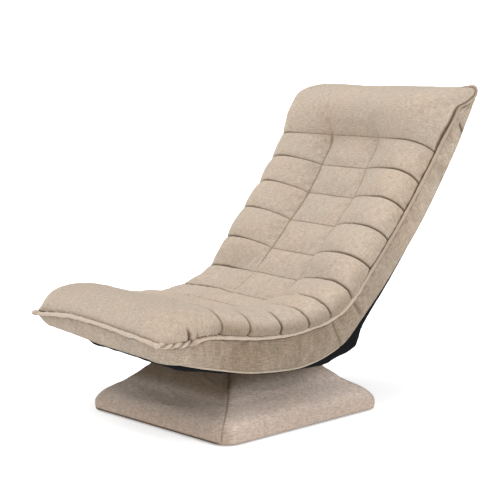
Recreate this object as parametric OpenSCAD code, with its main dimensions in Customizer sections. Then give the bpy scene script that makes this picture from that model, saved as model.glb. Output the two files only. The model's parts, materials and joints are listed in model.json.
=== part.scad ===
// Moon chair: a padded lounge chair with a reclining back on a swivel base.
// Frame: origin on the floor on the swivel axis, the chair faces -Y, +Z is up.
// Units are millimetres.

/* [Padded body] */
// Width of the padded body over its side panels
body_w = 548; // [540:2:560]
// Thickness of the woven cover fabric
fabric_t = 2; // [2:0.5:2.5]
// Thickness of the quilted top panel with its wadding
quilt_t = 8; // [7:1:10]
// Diameter of the piping cord in the edge seams
piping_d = 10; // [8:1:12]

/* [Steel frame] */
// Outer size of the square frame tube
tube_s = 18; // [16:1:18]
// Wall of the square frame tube
tube_wall = 1.5; // [1:0.5:2]
// Distance between the outer sides of the seat frame
frame_w = 459; // [440:1:460]
// Width of a webbing strap
strap_w = 38; // [30:2:42]

/* [Ratchet hinges] */
// Radius of the hinge plates round the pin
hinge_r = 23; // [21:1:24]
// Diameter of the hinge pin
pin_d = 10; // [8:1:12]
// Radial clearance of the moving plate on the pin
pin_clear = 0.05; // [0.02:0.01:0.1]
// Number of ratchet teeth, one every 18 degrees at 20
ratchet_teeth = 20; // [16:2:24]
// Outer radius of the ratchet wheel
ratchet_r = 17; // [15:1:18]

/* [Swivel] */
// Diameter of a bearing ball
ball_d = 6; // [5:0.5:6]
// Number of bearing balls
ball_count = 24; // [16:1:28]
// Radius of the ball circle
race_r = 62; // [58:1:64]
// Radius of the hollow centre rivet
rivet_r = 10; // [8:1:12]

/* [Base] */
// Side of the square base at the floor
base_side = 460; // [450:2:470]
// How far the base is turned under the seat, in degrees
base_turn = 9; // [-45:1:45]
// Diameter of a rubber pad
pad_d = 36; // [24:2:44]

/* [Hidden] */

// Colours as seen
BEIGE = [0.80, 0.72, 0.62];
BLACK = [0.10, 0.10, 0.11];
STEEL = [0.55, 0.56, 0.58];
PAINT = [0.16, 0.16, 0.17];
FOAM = [0.93, 0.88, 0.70];
WOOD = [0.72, 0.56, 0.38];
RUBBER = [0.08, 0.08, 0.08];

// Hinge axis in the side plane (y, z)
HY = 125;
HZ = 192;
// Half width to the outside of the side boxing
hw = body_w / 2;
// Half width to the outside of the seat rails
hf = frame_w / 2;

// Side profile of the cushion's upper surface, from the front seam over the
// front roll, the seat and the back to the seam behind the headrest
TOP = [[-345, 232], [-341, 252], [-325, 272], [-290, 286], [-250, 284],
       [-200, 268], [-140, 250], [-80, 243], [-13, 246], [45, 256],
       [105, 296], [155, 343], [210, 404], [262, 463], [298, 523],
       [322, 580], [314, 620], [318, 655], [335, 685], [368, 702],
       [410, 705], [448, 703]];
// Line of the piped seam along the side
PIPE = [[-343, 230], [-275, 228], [-211, 232], [-145, 222], [-70, 218],
        [0, 225], [58, 237], [118, 270], [172, 325], [223, 380],
        [272, 438], [312, 494], [357, 560], [417, 656], [448, 697]];
// Lower edge of the side boxing
EDGE = [[-336, 196], [-290, 180], [-205, 160], [-112, 146], [-30, 143],
        [40, 150], [100, 168], [150, 215], [208, 276], [266, 343],
        [325, 414], [365, 476], [407, 543], [444, 607], [464, 657],
        [466, 697]];
// Outside of the black underside, flat over the swivel plate
UNDER = [[-336, 196], [-290, 177], [-205, 156], [-112, 140], [-90, 137],
         [72, 137], [95, 146], [133, 155], [149, 167], [154, 188],
         [166, 211], [213, 270], [271, 338], [331, 410], [371, 473],
         [413, 540], [449, 605], [468, 657], [466, 697]];
// Centre line of the seat rails, from front to hinge
SEAT_RAIL = [[-312, 208], [-290, 200], [-200, 177], [-100, 160], [70, 160],
             [96, 172]];
// Centre line of the back rails, from hinge to head
BACK_RAIL = [[152, 224], [196, 286], [254, 353], [312, 424], [352, 485],
             [393, 551], [425, 606]];
// Lower side of the foam, resting on the webbing
FOAM_LOW = [[-338, 229], [-290, 213], [-200, 190], [-104, 173], [68, 173],
            [96, 188], [110, 222], [140, 240], [186, 294], [244, 361],
            [302, 432], [342, 493], [383, 559], [415, 614], [440, 660],
            [446, 694]];

// Catmull-Rom curve through a list of points, n steps to a span
function cr(a, b, c, d, t) = 0.5 * (2 * b + (c - a) * t
    + (2 * a - 5 * b + 4 * c - d) * t * t
    + (3 * b - a - 3 * c + d) * t * t * t);
function curve(p, n) = concat(
    [for (i = [0 : len(p) - 2], k = [0 : n - 1])
        cr(p[max(i - 1, 0)], p[i], p[i + 1], p[min(i + 2, len(p) - 1)], k / n)],
    [p[len(p) - 1]]);
// Unit normal of a polyline at point i, to the left of its direction
function nrm(p, i) =
    let (d = p[min(i + 1, len(p) - 1)] - p[max(i - 1, 0)])
    [-d[1], d[0]] / norm(d);
function shift(p, d) = [for (i = [0 : len(p) - 1]) p[i] + d * nrm(p, i)];
function rev(p) = [for (i = [len(p) - 1 : -1 : 0]) p[i]];
// Point at distance s along a polyline
function at(p, s, i = 0) =
    let (l = norm(p[i + 1] - p[i]))
    (i >= len(p) - 2 || s <= l) ? p[i] + (p[i + 1] - p[i]) * s / l
                                : at(p, s - l, i + 1);

TOPC = curve(TOP, 3);
PIPEC = curve(PIPE, 2);
EDGEC = curve(EDGE, 2);
TOPIN = shift(TOPC, -quilt_t);

// A side profile carried across the chair from x0 to x1
module prism(pts, x0, x1)
    translate([x0, 0, 0]) rotate([90, 0, 90]) linear_extrude(x1 - x0) polygon(pts);
// The strip between two profiles
module band(a, b, x0, x1) prism(concat(a, rev(b)), x0, x1);
module both() { children(); mirror([1, 0, 0]) children(); }
// Everything between two directions seen from the hinge axis
module zone(a0, a1, r = 1200) {
    n = ceil((a1 - a0) / 30);
    prism(concat([[HY, HZ]],
        [for (i = [0 : n]) let (a = a0 + (a1 - a0) * i / n)
            [HY + r * cos(a), HZ + r * sin(a)]]), -400, 400);
}
module seat_zone() zone(140, 228);
module back_zone() zone(20, 90);
module crease_zone() zone(90.4, 139.6);
module under_zone() zone(-131.6, 19.6);
// Room left round the hinge axis
module hinge_room(r = 30)
    translate([-400, HY, HZ]) rotate([0, 90, 0]) cylinder(h = 800, r = r, $fn = 96);
// Cuts at the ends of the quilted field
module front_part() translate([-400, -500, 0]) cube([800, 420, 500]);
module head_part()
    translate([0, 340, 588]) rotate([-35.4, 0, 0]) translate([-400, -300, 0]) cube([800, 600, 400]);

// ------------------------------------------------------------------ base

// Rounded square plate of half side a and corner radius r, true arcs
module rsquare(a, r, h) {
    translate([-a, -(a - r), 0]) cube([2 * a, 2 * (a - r), h]);
    translate([-(a - r), -a, 0]) cube([2 * (a - r), 2 * a, h]);
    for (x = [-1, 1], y = [-1, 1])
        translate([x * (a - r), y * (a - r), 0]) cylinder(h = h, r = r, $fn = 64);
}
// The same as a thin slice for the flared shell
module slice(a, r, z)
    translate([0, 0, z]) linear_extrude(0.01)
        hull() for (x = [-1, 1], y = [-1, 1])
            translate([x * (a - r), y * (a - r)]) circle(r = r, $fn = 32);
// Half side, corner radius and height of the flared base
FLARE = [[0, 38, 3], [0, 38, 22], [5, 38, 31.5], [12, 37, 38.5], [22, 35, 45.5], [46, 32, 60],
         [65, 28, 75], [82, 25, 90], [99, 22, 105], [115, 20, 122]];
module flare(inset, z0, z1) {
    n = len(FLARE);
    function fz(i) = min(max(FLARE[i][2], z0), z1);
    for (i = [0 : n - 2])
        if (fz(i + 1) > fz(i)) hull() {
            slice(base_side / 2 - FLARE[i][0] - inset, FLARE[i][1] - inset, fz(i));
            slice(base_side / 2 - FLARE[i + 1][0] - inset, FLARE[i + 1][1] - inset, fz(i + 1) - 0.01);
        }
}
module plate_holes(r, z0, z1)
    for (x = [-75, 75], y = [-50, 50])
        translate([x, y, z0]) cylinder(h = z1 - z0, r = r, $fn = 32);
module turned() rotate([0, 0, base_turn]) children();

module base_cover() color(BEIGE) turned() difference() {
    flare(0, 3, 122);
    flare(fabric_t, 0, 120);
    translate([0, 0, 1]) linear_extrude(10) square(2 * (base_side / 2 - fabric_t - 14), center = true);
    translate([0, 0, 110]) cylinder(h = 20, r = 18, $fn = 24);
    plate_holes(3.5, 110, 130);
}
module base_padding() color(FOAM) turned() difference() {
    flare(fabric_t + 0.4, 18.2, 116);
    flare(fabric_t + 10, 10, 130);
}
module base_board() color(WOOD) turned() difference() {
    translate([0, 0, 6]) rsquare(base_side / 2 - 8, 36, 12);
    for (x = [-1, 1], y = [-1, 1])
        translate([x * 180, y * 180, 5]) cylinder(h = 9, r = 2, $fn = 32);
    translate([0, 0, 5]) cylinder(h = 9, r = 2, $fn = 32);
}
module base_bottom_cloth() color(BLACK) turned() difference() {
    translate([0, 0, 4]) rsquare(base_side / 2 - 6, 38, 2);
    for (x = [-1, 1], y = [-1, 1])
        translate([x * 180, y * 180, 3]) cylinder(h = 4, r = 3, $fn = 32);
    translate([0, 0, 3]) cylinder(h = 4, r = 3, $fn = 32);
}
PADS = [[0, 0], [180, 180], [-180, 180], [180, -180], [-180, -180]];
module base_pads() color(RUBBER) turned() for (p = PADS) translate([p[0], p[1], 0])
    difference() {
        cylinder(h = 4, r = pad_d / 2, $fn = 64);
        if (p[0] != 0) translate([0, 0, -1]) cylinder(h = 3, r = 5, $fn = 48);
        if (p[0] != 0) translate([0, 0, 1]) cylinder(h = 4, r = 2, $fn = 32);
        if (p[0] == 0) translate([0, 0, 2]) cylinder(h = 3, r = 2, $fn = 32);
    }
module pad_screws() color(STEEL) turned() for (p = PADS) translate([p[0], p[1], 0])
    if (p[0] != 0) {
        translate([0, 0, 2]) cylinder(h = 11, r = 2, $fn = 32);
        translate([0, 0, 0.8]) cylinder(h = 1.2, r = 4, $fn = 32);
    } else translate([0, 0, 2]) cylinder(h = 11, r = 2, $fn = 32);
// Square tube legs from the corners of the board up to the top plate
module leg()
    intersection() {
        translate([-300, -300, 18]) cube([600, 600, 99]);
        translate([170, 170, 18]) rotate([0, 52.1, 225]) translate([-10, -10, -60])
            difference() {
                cube([20, 20, 300]);
                translate([1.5, 1.5, -1]) cube([17, 17, 302]);
            }
    }
module base_legs() color(PAINT) turned() for (a = [0, 90, 180, 270]) rotate([0, 0, a]) leg();
module base_top_plate() color(PAINT) turned() difference() {
    translate([-98, -98, 117]) cube([196, 196, 3]);
    translate([0, 0, 110]) cylinder(h = 20, r = 18, $fn = 64);
    plate_holes(3.2, 110, 130);
}

// ---------------------------------------------------------------- swivel

// Raised ring with half of the ball groove; the groove faces up or down
module race(z0, z1) difference() {
    translate([0, 0, z0]) cylinder(h = z1 - z0, r = race_r + 10, $fn = 96);
    translate([0, 0, z0 - 1]) cylinder(h = z1 - z0 + 2, r = race_r - 10, $fn = 96);
    rotate_extrude($fn = 96) translate([race_r, 129]) circle(d = ball_d + 0.1, $fn = 48);
}
module swivel_lower_plate() color(STEEL) turned() difference() {
    union() {
        translate([-90, -75, 122]) cube([180, 150, 2.5]);
        race(124.5, 128.4);
    }
    translate([0, 0, 120]) cylinder(h = 6, r = rivet_r, $fn = 64);
    plate_holes(3.2, 120, 130);
}
module swivel_balls() color(STEEL) turned() for (i = [0 : ball_count - 1])
    rotate([0, 0, i * 360 / ball_count]) translate([race_r, 0, 129]) sphere(d = ball_d, $fn = 32);
module ball_cage() color("ivory") turned() difference() {
    translate([0, 0, 128.6]) cylinder(h = 0.8, r = race_r + 8, $fn = 96);
    translate([0, 0, 128]) cylinder(h = 2, r = race_r - 8, $fn = 96);
    for (i = [0 : ball_count - 1])
        rotate([0, 0, i * 360 / ball_count]) translate([race_r, 0, 128]) cylinder(h = 2, d = ball_d + 0.4, $fn = 32);
}
module swivel_rivet() color(STEEL) turned() difference() {
    union() {
        translate([0, 0, 122]) cylinder(h = 16, r = rivet_r, $fn = 64);
        translate([0, 0, 120.2]) cylinder(h = 1.8, r = rivet_r + 4, $fn = 64);
        translate([0, 0, 137.3]) cylinder(h = 1.5, r = rivet_r + 4, $fn = 64);
    }
    translate([0, 0, 119]) cylinder(h = 22, r = rivet_r - 2.5, $fn = 64);
}
module base_bolts() color(STEEL) turned() for (x = [-75, 75], y = [-50, 50]) translate([x, y, 0]) {
    translate([0, 0, 110]) cylinder(h = 14.5, r = 3, $fn = 32);
    translate([0, 0, 124.5]) cylinder(h = 3, r = 5, $fn = 32);
}
module nut(z) translate([0, 0, z]) difference() {
    cylinder(h = 5, r = 5.8, $fn = 6);
    translate([0, 0, -1]) cylinder(h = 7, r = 3, $fn = 32);
}
module base_nuts() color(STEEL) turned() for (x = [-75, 75], y = [-50, 50]) translate([x, y, 0]) nut(112);
module swivel_upper_plate() color(STEEL) difference() {
    union() {
        translate([-90, -75, 134.5]) cube([180, 150, 2.5]);
        race(129.6, 134.5);
    }
    translate([0, 0, 133]) cylinder(h = 6, r = rivet_r + 0.05, $fn = 64);
    plate_holes(3.2, 130, 140);
}
module seat_bolts() color(STEEL) for (x = [-75, 75], y = [-50, 50]) translate([x, y, 0]) {
    translate([0, 0, 134.5]) cylinder(h = 23.5, r = 3, $fn = 32);
    translate([0, 0, 131.5]) cylinder(h = 3, r = 5, $fn = 32);
}
module seat_nuts() color(STEEL) for (x = [-75, 75], y = [-50, 50]) translate([x, y, 0]) nut(151);

// ------------------------------------------------------------- seat frame

// Square tube rail that follows a centre line
module rail(p, x0) difference() {
    band(shift(p, tube_s / 2), shift(p, -tube_s / 2), x0, x0 + tube_s);
    band(shift(p, tube_s / 2 - tube_wall), shift(p, tube_wall - tube_s / 2), x0 + tube_wall, x0 + tube_s - tube_wall);
}
// Square cross tube at distance s along the centre line
module cross(p, s, x)
    let (a = at(p, s), b = at(p, s + tube_s), n = [a[1] - b[1], b[0] - a[0]] / norm(b - a))
    difference() {
        prism([a + n * tube_s / 2, b + n * tube_s / 2, b - n * tube_s / 2, a - n * tube_s / 2], -x, x);
        let (c = a + (b - a) * tube_wall / tube_s, d = b - (b - a) * tube_wall / tube_s, h = tube_s / 2 - tube_wall)
            prism([c + n * h, d + n * h, d - n * h, c - n * h], -x - 1, x + 1);
    }
// Webbing strap lying on the rails at distance s along the centre line
module strap(p, s, x)
    let (a = at(p, s), b = at(p, s + strap_w), n = [a[1] - b[1], b[0] - a[0]] / norm(b - a))
    prism([a + n * (tube_s / 2 + 1), b + n * (tube_s / 2 + 1), b + n * (tube_s / 2 + 2.8), a + n * (tube_s / 2 + 2.8)], -x, x);

module mounting_bars() color(PAINT) difference() {
    for (y = [-50, 50]) translate([-hf + 1, y - 15, 139]) difference() {
        cube([frame_w - 2, 30, 12]);
        translate([-1, 2, 2]) cube([frame_w, 26, 8]);
    }
    plate_holes(3.2, 130, 160);
}
module seat_frame() color(PAINT) {
    both() rail(SEAT_RAIL, hf - tube_s);
    for (s = [24, 385]) cross(SEAT_RAIL, s, hf - tube_s);
}
module seat_webbing() color(BLACK) for (s = [60, 118, 176, 234, 292, 338]) strap(SEAT_RAIL, s, hf);
module seat_hinge_plate() difference() {
    union() {
        translate([hf, HY, HZ]) rotate([0, 90, 0]) cylinder(h = 3, r = hinge_r, $fn = 96);
        prism([[52, 152], [52, 168], [74, 169], [94, 184], [112, 210], [125, 192], [134, 171],
               [98, 160], [76, 152]], hf, hf + 3);
    }
    translate([hf - 5, HY, HZ]) rotate([0, 90, 0]) cylinder(h = 12, r = pin_d / 2, $fn = 64);
}
module seat_hinge_plate_right() color(STEEL) seat_hinge_plate();
module seat_hinge_plate_left() color(STEEL) mirror([1, 0, 0]) seat_hinge_plate();
// Toothed wheel fixed to the seat plate, one notch for each position
module ratchet_wheels() color(STEEL) both() translate([hf + 3, HY, HZ]) rotate([90, 0, 90])
    difference() {
        linear_extrude(4) polygon([for (i = [0 : ratchet_teeth - 1], k = [0 : 1])
            let (a = (i + 0.25 * k) * 360 / ratchet_teeth, r = k == 0 ? ratchet_r - 3 : ratchet_r) [r * cos(a), r * sin(a)]]);
        translate([0, 0, -1]) cylinder(h = 6, r = pin_d / 2, $fn = 64);
    }
module hinge_pins() color(STEEL) both() translate([hf, HY, HZ]) rotate([0, 90, 0]) {
    translate([0, 0, -3]) cylinder(h = 3, r = pin_d / 2 + 3, $fn = 64);
    cylinder(h = 11, r = pin_d / 2, $fn = 64);
    translate([0, 0, 10.8]) cylinder(h = 2.7, r = pin_d / 2 + 3, $fn = 64);
}
module hinge_caps() color(BLACK) both() translate([hf + 13.5, HY, HZ]) rotate([0, 90, 0])
    cylinder(h = 2, r = hinge_r + 1, $fn = 96);

// ------------------------------------------------------------- back frame

module back_frame() color(PAINT) {
    both() rail(BACK_RAIL, hf + 7.5 - tube_s);
    for (s = [16, 240, 436]) cross(BACK_RAIL, s, hf + 7.5 - tube_s);
}
module back_webbing() color(BLACK) for (s = [44, 104, 164, 270, 330, 390]) strap(BACK_RAIL, s, hf + 7);
module back_hinge_plate() difference() {
    union() {
        translate([hf + 7.5, HY, HZ]) rotate([0, 90, 0]) cylinder(h = 3, r = hinge_r, $fn = 96);
        prism([[107, 206], [144, 228], [186, 286], [202, 276], [160, 216], [146, 184], [125, 192]], hf + 7.5, hf + 10.5);
    }
    translate([hf + 5, HY, HZ]) rotate([0, 90, 0]) cylinder(h = 8, r = pin_d / 2 + pin_clear, $fn = 64);
}
module back_hinge_plate_right() color(STEEL) back_hinge_plate();
module back_hinge_plate_left() color(STEEL) mirror([1, 0, 0]) back_hinge_plate();
// Pawl on the back plate, drawn lifted just clear of the teeth
module pawls() color(STEEL) both() translate([hf + 3.6, HY, HZ]) rotate([90, 0, 90]) rotate(42)
    linear_extrude(3.9) polygon([[17.6, -1], [19, 4], [24, 12], [30, 12], [30, 4], [24, -3], [20, -4]]);
module pawl_springs() color(STEEL) both() translate([hf + 4.2, HY, HZ]) rotate([90, 0, 90]) rotate(42)
    linear_extrude(2.6) polygon([[30, 8], [33, 8], [36, -6], [34, -13], [33, -13], [35, -6], [32.4, 7], [30, 7]]);

// ---------------------------------------------------------------- cushion

module foam_body() difference() {
    prism(concat(TOPIN, rev(FOAM_LOW)), -hw + fabric_t, hw - fabric_t);
    hinge_room();
}
module quilt_body() band(TOPC, TOPIN, -hw + fabric_t, hw - fabric_t);
module boxing_body() prism(concat(PIPEC, rev(EDGEC)), hw - fabric_t, hw);
module piping_body() {
    a = shift(PIPEC, piping_d / 2);
    b = shift(PIPEC, -piping_d / 2);
    both() band(a, b, hw, hw + piping_d);
}
module under_body() {
    band(shift(UNDER, fabric_t), UNDER, -hw + fabric_t, hw - fabric_t);
}

module seat_foam() color(FOAM) difference() {
    intersection() { foam_body(); seat_zone(); }
    front_part();
}
module front_roll_foam() color(FOAM) intersection() { foam_body(); front_part(); }
module seat_quilt() color(BEIGE) difference() {
    intersection() { quilt_body(); seat_zone(); }
    front_part();
}
module front_roll_cover() color(BEIGE) intersection() { quilt_body(); front_part(); }
// Boxing across the front, from the front seam down to the lower edge
module front_band() color(BEIGE)
    prism([[-345, 232], [-337.6, 198.4], [-335.4, 198.4], [-338.6, 226.6]], -hw + fabric_t, hw - fabric_t);
module seat_boxing_right() color(BEIGE) intersection() { boxing_body(); seat_zone(); }
module seat_boxing_left() color(BEIGE) mirror([1, 0, 0]) intersection() { boxing_body(); seat_zone(); }
module seat_piping() color(BEIGE) {
    intersection() { piping_body(); seat_zone(); }
    translate([-hw, -350, 228]) cube([2 * hw, 5, piping_d - 1]);
}
module seat_underside() color(BLACK) difference() {
    intersection() { under_body(); seat_zone(); }
    translate([0, 0, 130]) cylinder(h = 20, r = 18, $fn = 48);
    plate_holes(3.5, 130, 145);
}

// The stretch of the cushion over the hinge, which changes shape as it moves
module crease_foam() color(FOAM) intersection() { foam_body(); crease_zone(); }
module crease_quilt() color(BEIGE) intersection() { quilt_body(); crease_zone(); }
module crease_boxing() color(BEIGE) both() intersection() { boxing_body(); crease_zone(); }
module crease_piping() color(BEIGE) intersection() { piping_body(); crease_zone(); }
module hinge_shroud() color(BLACK) {
    intersection() { under_body(); under_zone(); }
    both() intersection() {
        prism(concat(EDGEC, rev(UNDER)), hw - fabric_t - 2.5, hw - fabric_t - 0.5);
        under_zone();
        translate([-400, 60, 100]) cube([800, 130, 140]);
    }
}

module back_foam() color(FOAM) difference() {
    intersection() { foam_body(); back_zone(); }
    head_part();
}
module headrest_foam() color(FOAM) intersection() { foam_body(); back_zone(); head_part(); }
module back_quilt() color(BEIGE) difference() {
    intersection() { quilt_body(); back_zone(); }
    head_part();
}
module headrest_cover() color(BEIGE) intersection() { quilt_body(); back_zone(); head_part(); }
// Boxing across the head, behind the headrest roll
module head_band() color(BEIGE)
    prism([[448, 703], [466, 697], [468, 659], [466, 659], [463.6, 694.6], [448, 700]], -hw + fabric_t, hw - fabric_t);
module back_boxing_right() color(BEIGE) intersection() { boxing_body(); back_zone(); }
module back_boxing_left() color(BEIGE) mirror([1, 0, 0]) intersection() { boxing_body(); back_zone(); }
module back_piping() color(BEIGE) {
    intersection() { piping_body(); back_zone(); }
    translate([-hw, 448, 703.2]) cube([2 * hw, piping_d, 5]);
}
BACK_LOW = [[166, 211], [213, 270], [271, 338], [331, 410], [371, 473],
            [413, 540], [449, 605], [466, 654]];
module back_underside() color(BLACK) intersection() {
    band(shift(BACK_LOW, fabric_t), BACK_LOW, -hw + fabric_t, hw - fabric_t);
    back_zone();
}
// Zip across the black back panel, with its slider
module zip_strip(d0, d1, w, x0, x1)
    let (a = [331, 410], b = [371, 473], u = (b - a) / norm(b - a), n = [-u[1], u[0]], c = (a + b) / 2)
    prism([c - u * w / 2 + n * d0, c + u * w / 2 + n * d0, c + u * w / 2 + n * d1, c - u * w / 2 + n * d1], x0, x1);
module zip_tape() color(BLACK) {
    zip_strip(-1, 0, 26, -205, 205);
    zip_strip(-2, -1, 5, -200, 200);
}
module zip_slider() color(STEEL) {
    zip_strip(-5, -2.4, 9, -200, -188);
    zip_strip(-6.5, -5, 5, -200, -170);
}

base_cover();
base_padding();
base_board();
base_bottom_cloth();
base_pads();
pad_screws();
base_legs();
base_top_plate();
swivel_lower_plate();
swivel_balls();
ball_cage();
swivel_rivet();
base_bolts();
base_nuts();
swivel_upper_plate();
seat_bolts();
seat_nuts();
mounting_bars();
seat_frame();
seat_webbing();
seat_foam();
front_roll_foam();
seat_quilt();
front_roll_cover();
front_band();
seat_boxing_left();
seat_boxing_right();
seat_piping();
seat_underside();
seat_hinge_plate_left();
seat_hinge_plate_right();
ratchet_wheels();
hinge_pins();
hinge_caps();
crease_foam();
crease_quilt();
crease_boxing();
crease_piping();
hinge_shroud();
back_frame();
back_webbing();
back_foam();
headrest_foam();
back_quilt();
headrest_cover();
head_band();
back_boxing_left();
back_boxing_right();
back_piping();
back_underside();
back_hinge_plate_left();
back_hinge_plate_right();
pawls();
pawl_springs();
zip_tape();
zip_slider();
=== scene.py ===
import math

import bmesh
import bpy
import json
import numpy as np
from mathutils import Matrix, Vector


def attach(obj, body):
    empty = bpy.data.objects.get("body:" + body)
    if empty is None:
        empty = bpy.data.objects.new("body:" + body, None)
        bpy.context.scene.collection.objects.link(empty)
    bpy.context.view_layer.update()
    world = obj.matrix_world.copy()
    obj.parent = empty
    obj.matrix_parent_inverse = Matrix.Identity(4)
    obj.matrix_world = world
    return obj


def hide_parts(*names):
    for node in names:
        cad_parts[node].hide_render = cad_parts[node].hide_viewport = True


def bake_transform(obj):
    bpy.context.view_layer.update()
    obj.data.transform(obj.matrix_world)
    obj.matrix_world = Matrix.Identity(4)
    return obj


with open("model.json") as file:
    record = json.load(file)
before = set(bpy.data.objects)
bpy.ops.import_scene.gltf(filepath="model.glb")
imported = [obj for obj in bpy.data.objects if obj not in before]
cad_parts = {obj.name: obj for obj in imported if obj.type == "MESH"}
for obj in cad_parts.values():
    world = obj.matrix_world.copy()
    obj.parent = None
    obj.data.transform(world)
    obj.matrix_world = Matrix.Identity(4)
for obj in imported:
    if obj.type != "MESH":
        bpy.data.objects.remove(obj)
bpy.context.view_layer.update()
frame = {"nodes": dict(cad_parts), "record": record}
MM = 0.001
pi = math.pi

# ------------------------------------------------------------------ shape, in millimetres
# x across the chair, y to the back, z up. The seat faces -y; the hinge axis runs along x at y 125, z 192.

COL = 84.0            # half width of the middle column of quilting
SIDE = 150.0          # from the column seam to the crown of the side bolster
FALL = 100.0          # from the crown down to the piped seam

# Cross lines of the cushion's upper surface, from the front seam to the head seam.
# name, centre y, centre z, side crown height, x of crown, widest x, x of piping, piping y, piping z
LINES = [
    ("F", -344, 234, 0, 205, 271, 270, -344, 230),
    ("f1", -342, 247, 0, 206, 273, 270.3, -340, 229),
    ("f2", -332, 259, 1, 207, 276, 270.8, -330, 227),
    ("f3", -316, 270, 2, 208, 280, 271.5, -312, 225.5),
    ("f4", -292, 280, 2, 210, 285, 273.5, -291, 226),
    ("f5", -266, 284, 2, 213, 289, 276.5, -266, 230),
    ("f6", -240, 281, 3, 216, 293, 279.5, -242, 234.5),
    ("R11", -213, 273, 9, 220, 296, 281, -219, 232.8),
    ("f8", -181, 263, 12, 224, 298, 283, -189, 228.8),
    ("R10", -150, 252.8, 17, 229, 300, 284.5, -158, 224),
    ("f10", -115, 241.4, 23, 233, 301, 285.5, -119, 220),
    ("R9", -81, 232, 30, 236, 301, 285.5, -79, 218.1),
    ("R8", -13, 235, 29, 236, 301, 285.5, -9, 223.8),
    ("R7", 49, 245, 36, 230, 296, 282, 50, 235),
    ("R6", 114, 286, 27, 220, 283, 274, 114, 267),
    ("R5", 164, 335, 34, 208, 272, 268, 172, 325),
    ("R4", 218, 396, 27, 198, 265, 263, 223, 380),
    ("R3", 270, 456, 22, 190, 260, 260, 272, 438),
    ("R2", 309, 519, 17, 184, 258, 260, 312, 494),
    ("R1", 340, 588, 15, 180, 257, 260, 357, 560),
    ("h1", 334, 609, 12, 186, 259, 260.5, 367, 577),
    ("h2", 328, 634, 8, 194, 262, 261.5, 382, 600),
    ("h3", 329, 660, 4, 202, 266, 262.5, 402, 629),
    ("h4", 342, 682, 2, 208, 270, 262.5, 416, 653),
    ("h5", 366, 694, 0, 212, 274, 265, 437, 664),
    ("h6", 396, 698, 0, 214, 276, 268, 455, 677),
    ("h7", 424, 699.5, 0, 214, 275, 270, 460, 690),
    ("T", 447, 699, 0, 212, 272, 270, 451, 699),
]
TAB = np.array([r[1:] for r in LINES], float)
SC = np.concatenate([[0], np.cumsum(np.hypot(*np.diff(TAB[:, :2], axis=0).T))])   # station along the centre line
S = {r[0]: float(s) for r, s in zip(LINES, SC)}
END = S["T"]
ROWS = [S[n] for n in ("R9", "R8", "R7", "R6", "R5", "R4", "R3", "R2", "R1")]

# The left side is sat a little flatter than the right: station, change of crown height, of width, of crown x
LEFT = np.array([(0, -6, 0, 0), (100, -8, 0, -10), (156, -11, 0, -30), (224, -18, 0, -50), (294, -25, 0, -58),
                 (361, -30, 0, -60), (424, -33, 0, -55), (501, -28, -2, -25), (571, -9, 0, -8), (652, 9, 5, 0),
                 (732, 18, 13, 0), (806, 20, 18, 0), (881, 21, 20, 0), (908, 15, 18, 0), (930, 9, 11, 0), (960, 2, -4, 0),
                 (992, 2, -8, 0), (1039, 4, -4, -5), (1090, 2, 0, 0)], float)

# Lower edge of the boxing with its half width, by station
EDGE = np.array([(0, 262, -334, 196), (74, 266, -292, 183), (100, 269, -262, 174.5), (156, 272, -205, 161), (224, 274, -140, 147.5),
                 (294, 274, -63, 141), (361, 274, 0, 143.5), (398, 270, 48, 153.5), (424, 267, 84, 166.5), (462, 265, 118, 187.5),
                 (501, 262, 152, 220), (571, 258, 212.8, 280.8), (652, 254, 264.2, 337.5), (732, 251, 317, 400), (806, 250, 360, 461),
                 (881, 250, 404, 531), (930, 250, 428, 571), (981, 251, 452, 620), (1039, 255, 466, 657), (1066, 261, 468, 677),
                 (1090, 266, 464, 692)], float)
# Outside of the black underside at the same stations
UNDER = np.array([(0, -332, 189), (74, -292, 173), (156, -205, 154.5), (224, -136, 143.5), (250, -112, 139.8), (272, -90, 137),
                  (361, 0, 137), (410, 72, 137), (430, 95, 146), (450, 121, 152), (468, 142, 161), (484, 152, 177),
                  (501, 159, 194), (521, 169, 208), (573, 217.5, 265.5), (655, 275, 334.5), (736, 333.5, 408), (808, 371, 473),
                  (882, 413, 540), (975, 449, 605), (1040, 468, 657), (1090, 468, 662)], float)
# Underside of the padding, on the webbing
LOW = np.array([(0, -338, 224), (74, -290, 211), (156, -205, 189), (224, -140, 178), (294, -66, 173), (361, 0, 173),
                (424, 70, 174), (450, 92, 186), (470, 108, 212), (501, 134, 236), (571, 190, 299), (652, 246, 364),
                (732, 300, 430), (806, 338, 487), (881, 378, 551), (930, 408, 602), (981, 430, 643), (1039, 442, 675),
                (1090, 445, 694)], float)


def spline(xs, ys, x):
    """Smooth curve through the points, with three point tangents."""
    xs, ys = np.asarray(xs, float), np.asarray(ys, float)
    flat = ys.ndim == 1
    if flat:
        ys = ys[:, None]
    h = np.diff(xs)[:, None]
    d = np.diff(ys, axis=0) / h
    m = np.empty_like(ys)
    m[1:-1] = (d[:-1] * h[1:] + d[1:] * h[:-1]) / (h[:-1] + h[1:])
    m[0], m[-1] = d[0], d[-1]
    x = np.clip(np.asarray(x, float), xs[0], xs[-1])
    i = np.clip(np.searchsorted(xs, x, side="right") - 1, 0, len(xs) - 2)
    t = ((x - xs[i]) / h[i, 0])[:, None]
    hh = h[i]
    out = ((2 * t**3 - 3 * t**2 + 1) * ys[i] + (t**3 - 2 * t**2 + t) * hh * m[i]
           + (-2 * t**3 + 3 * t**2) * ys[i + 1] + (t**3 - t**2) * hh * m[i + 1])
    return out[:, 0] if flat else out


def hashed(ix, iy, seed):
    h = (ix * 374761393 + iy * 668265263 + seed * 974634777) & 0xFFFFFFFF
    h = ((h ^ (h >> 13)) * 1274126177) & 0xFFFFFFFF
    return ((h ^ (h >> 16)) & 0xFFFF) / 32767.5 - 1


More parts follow.
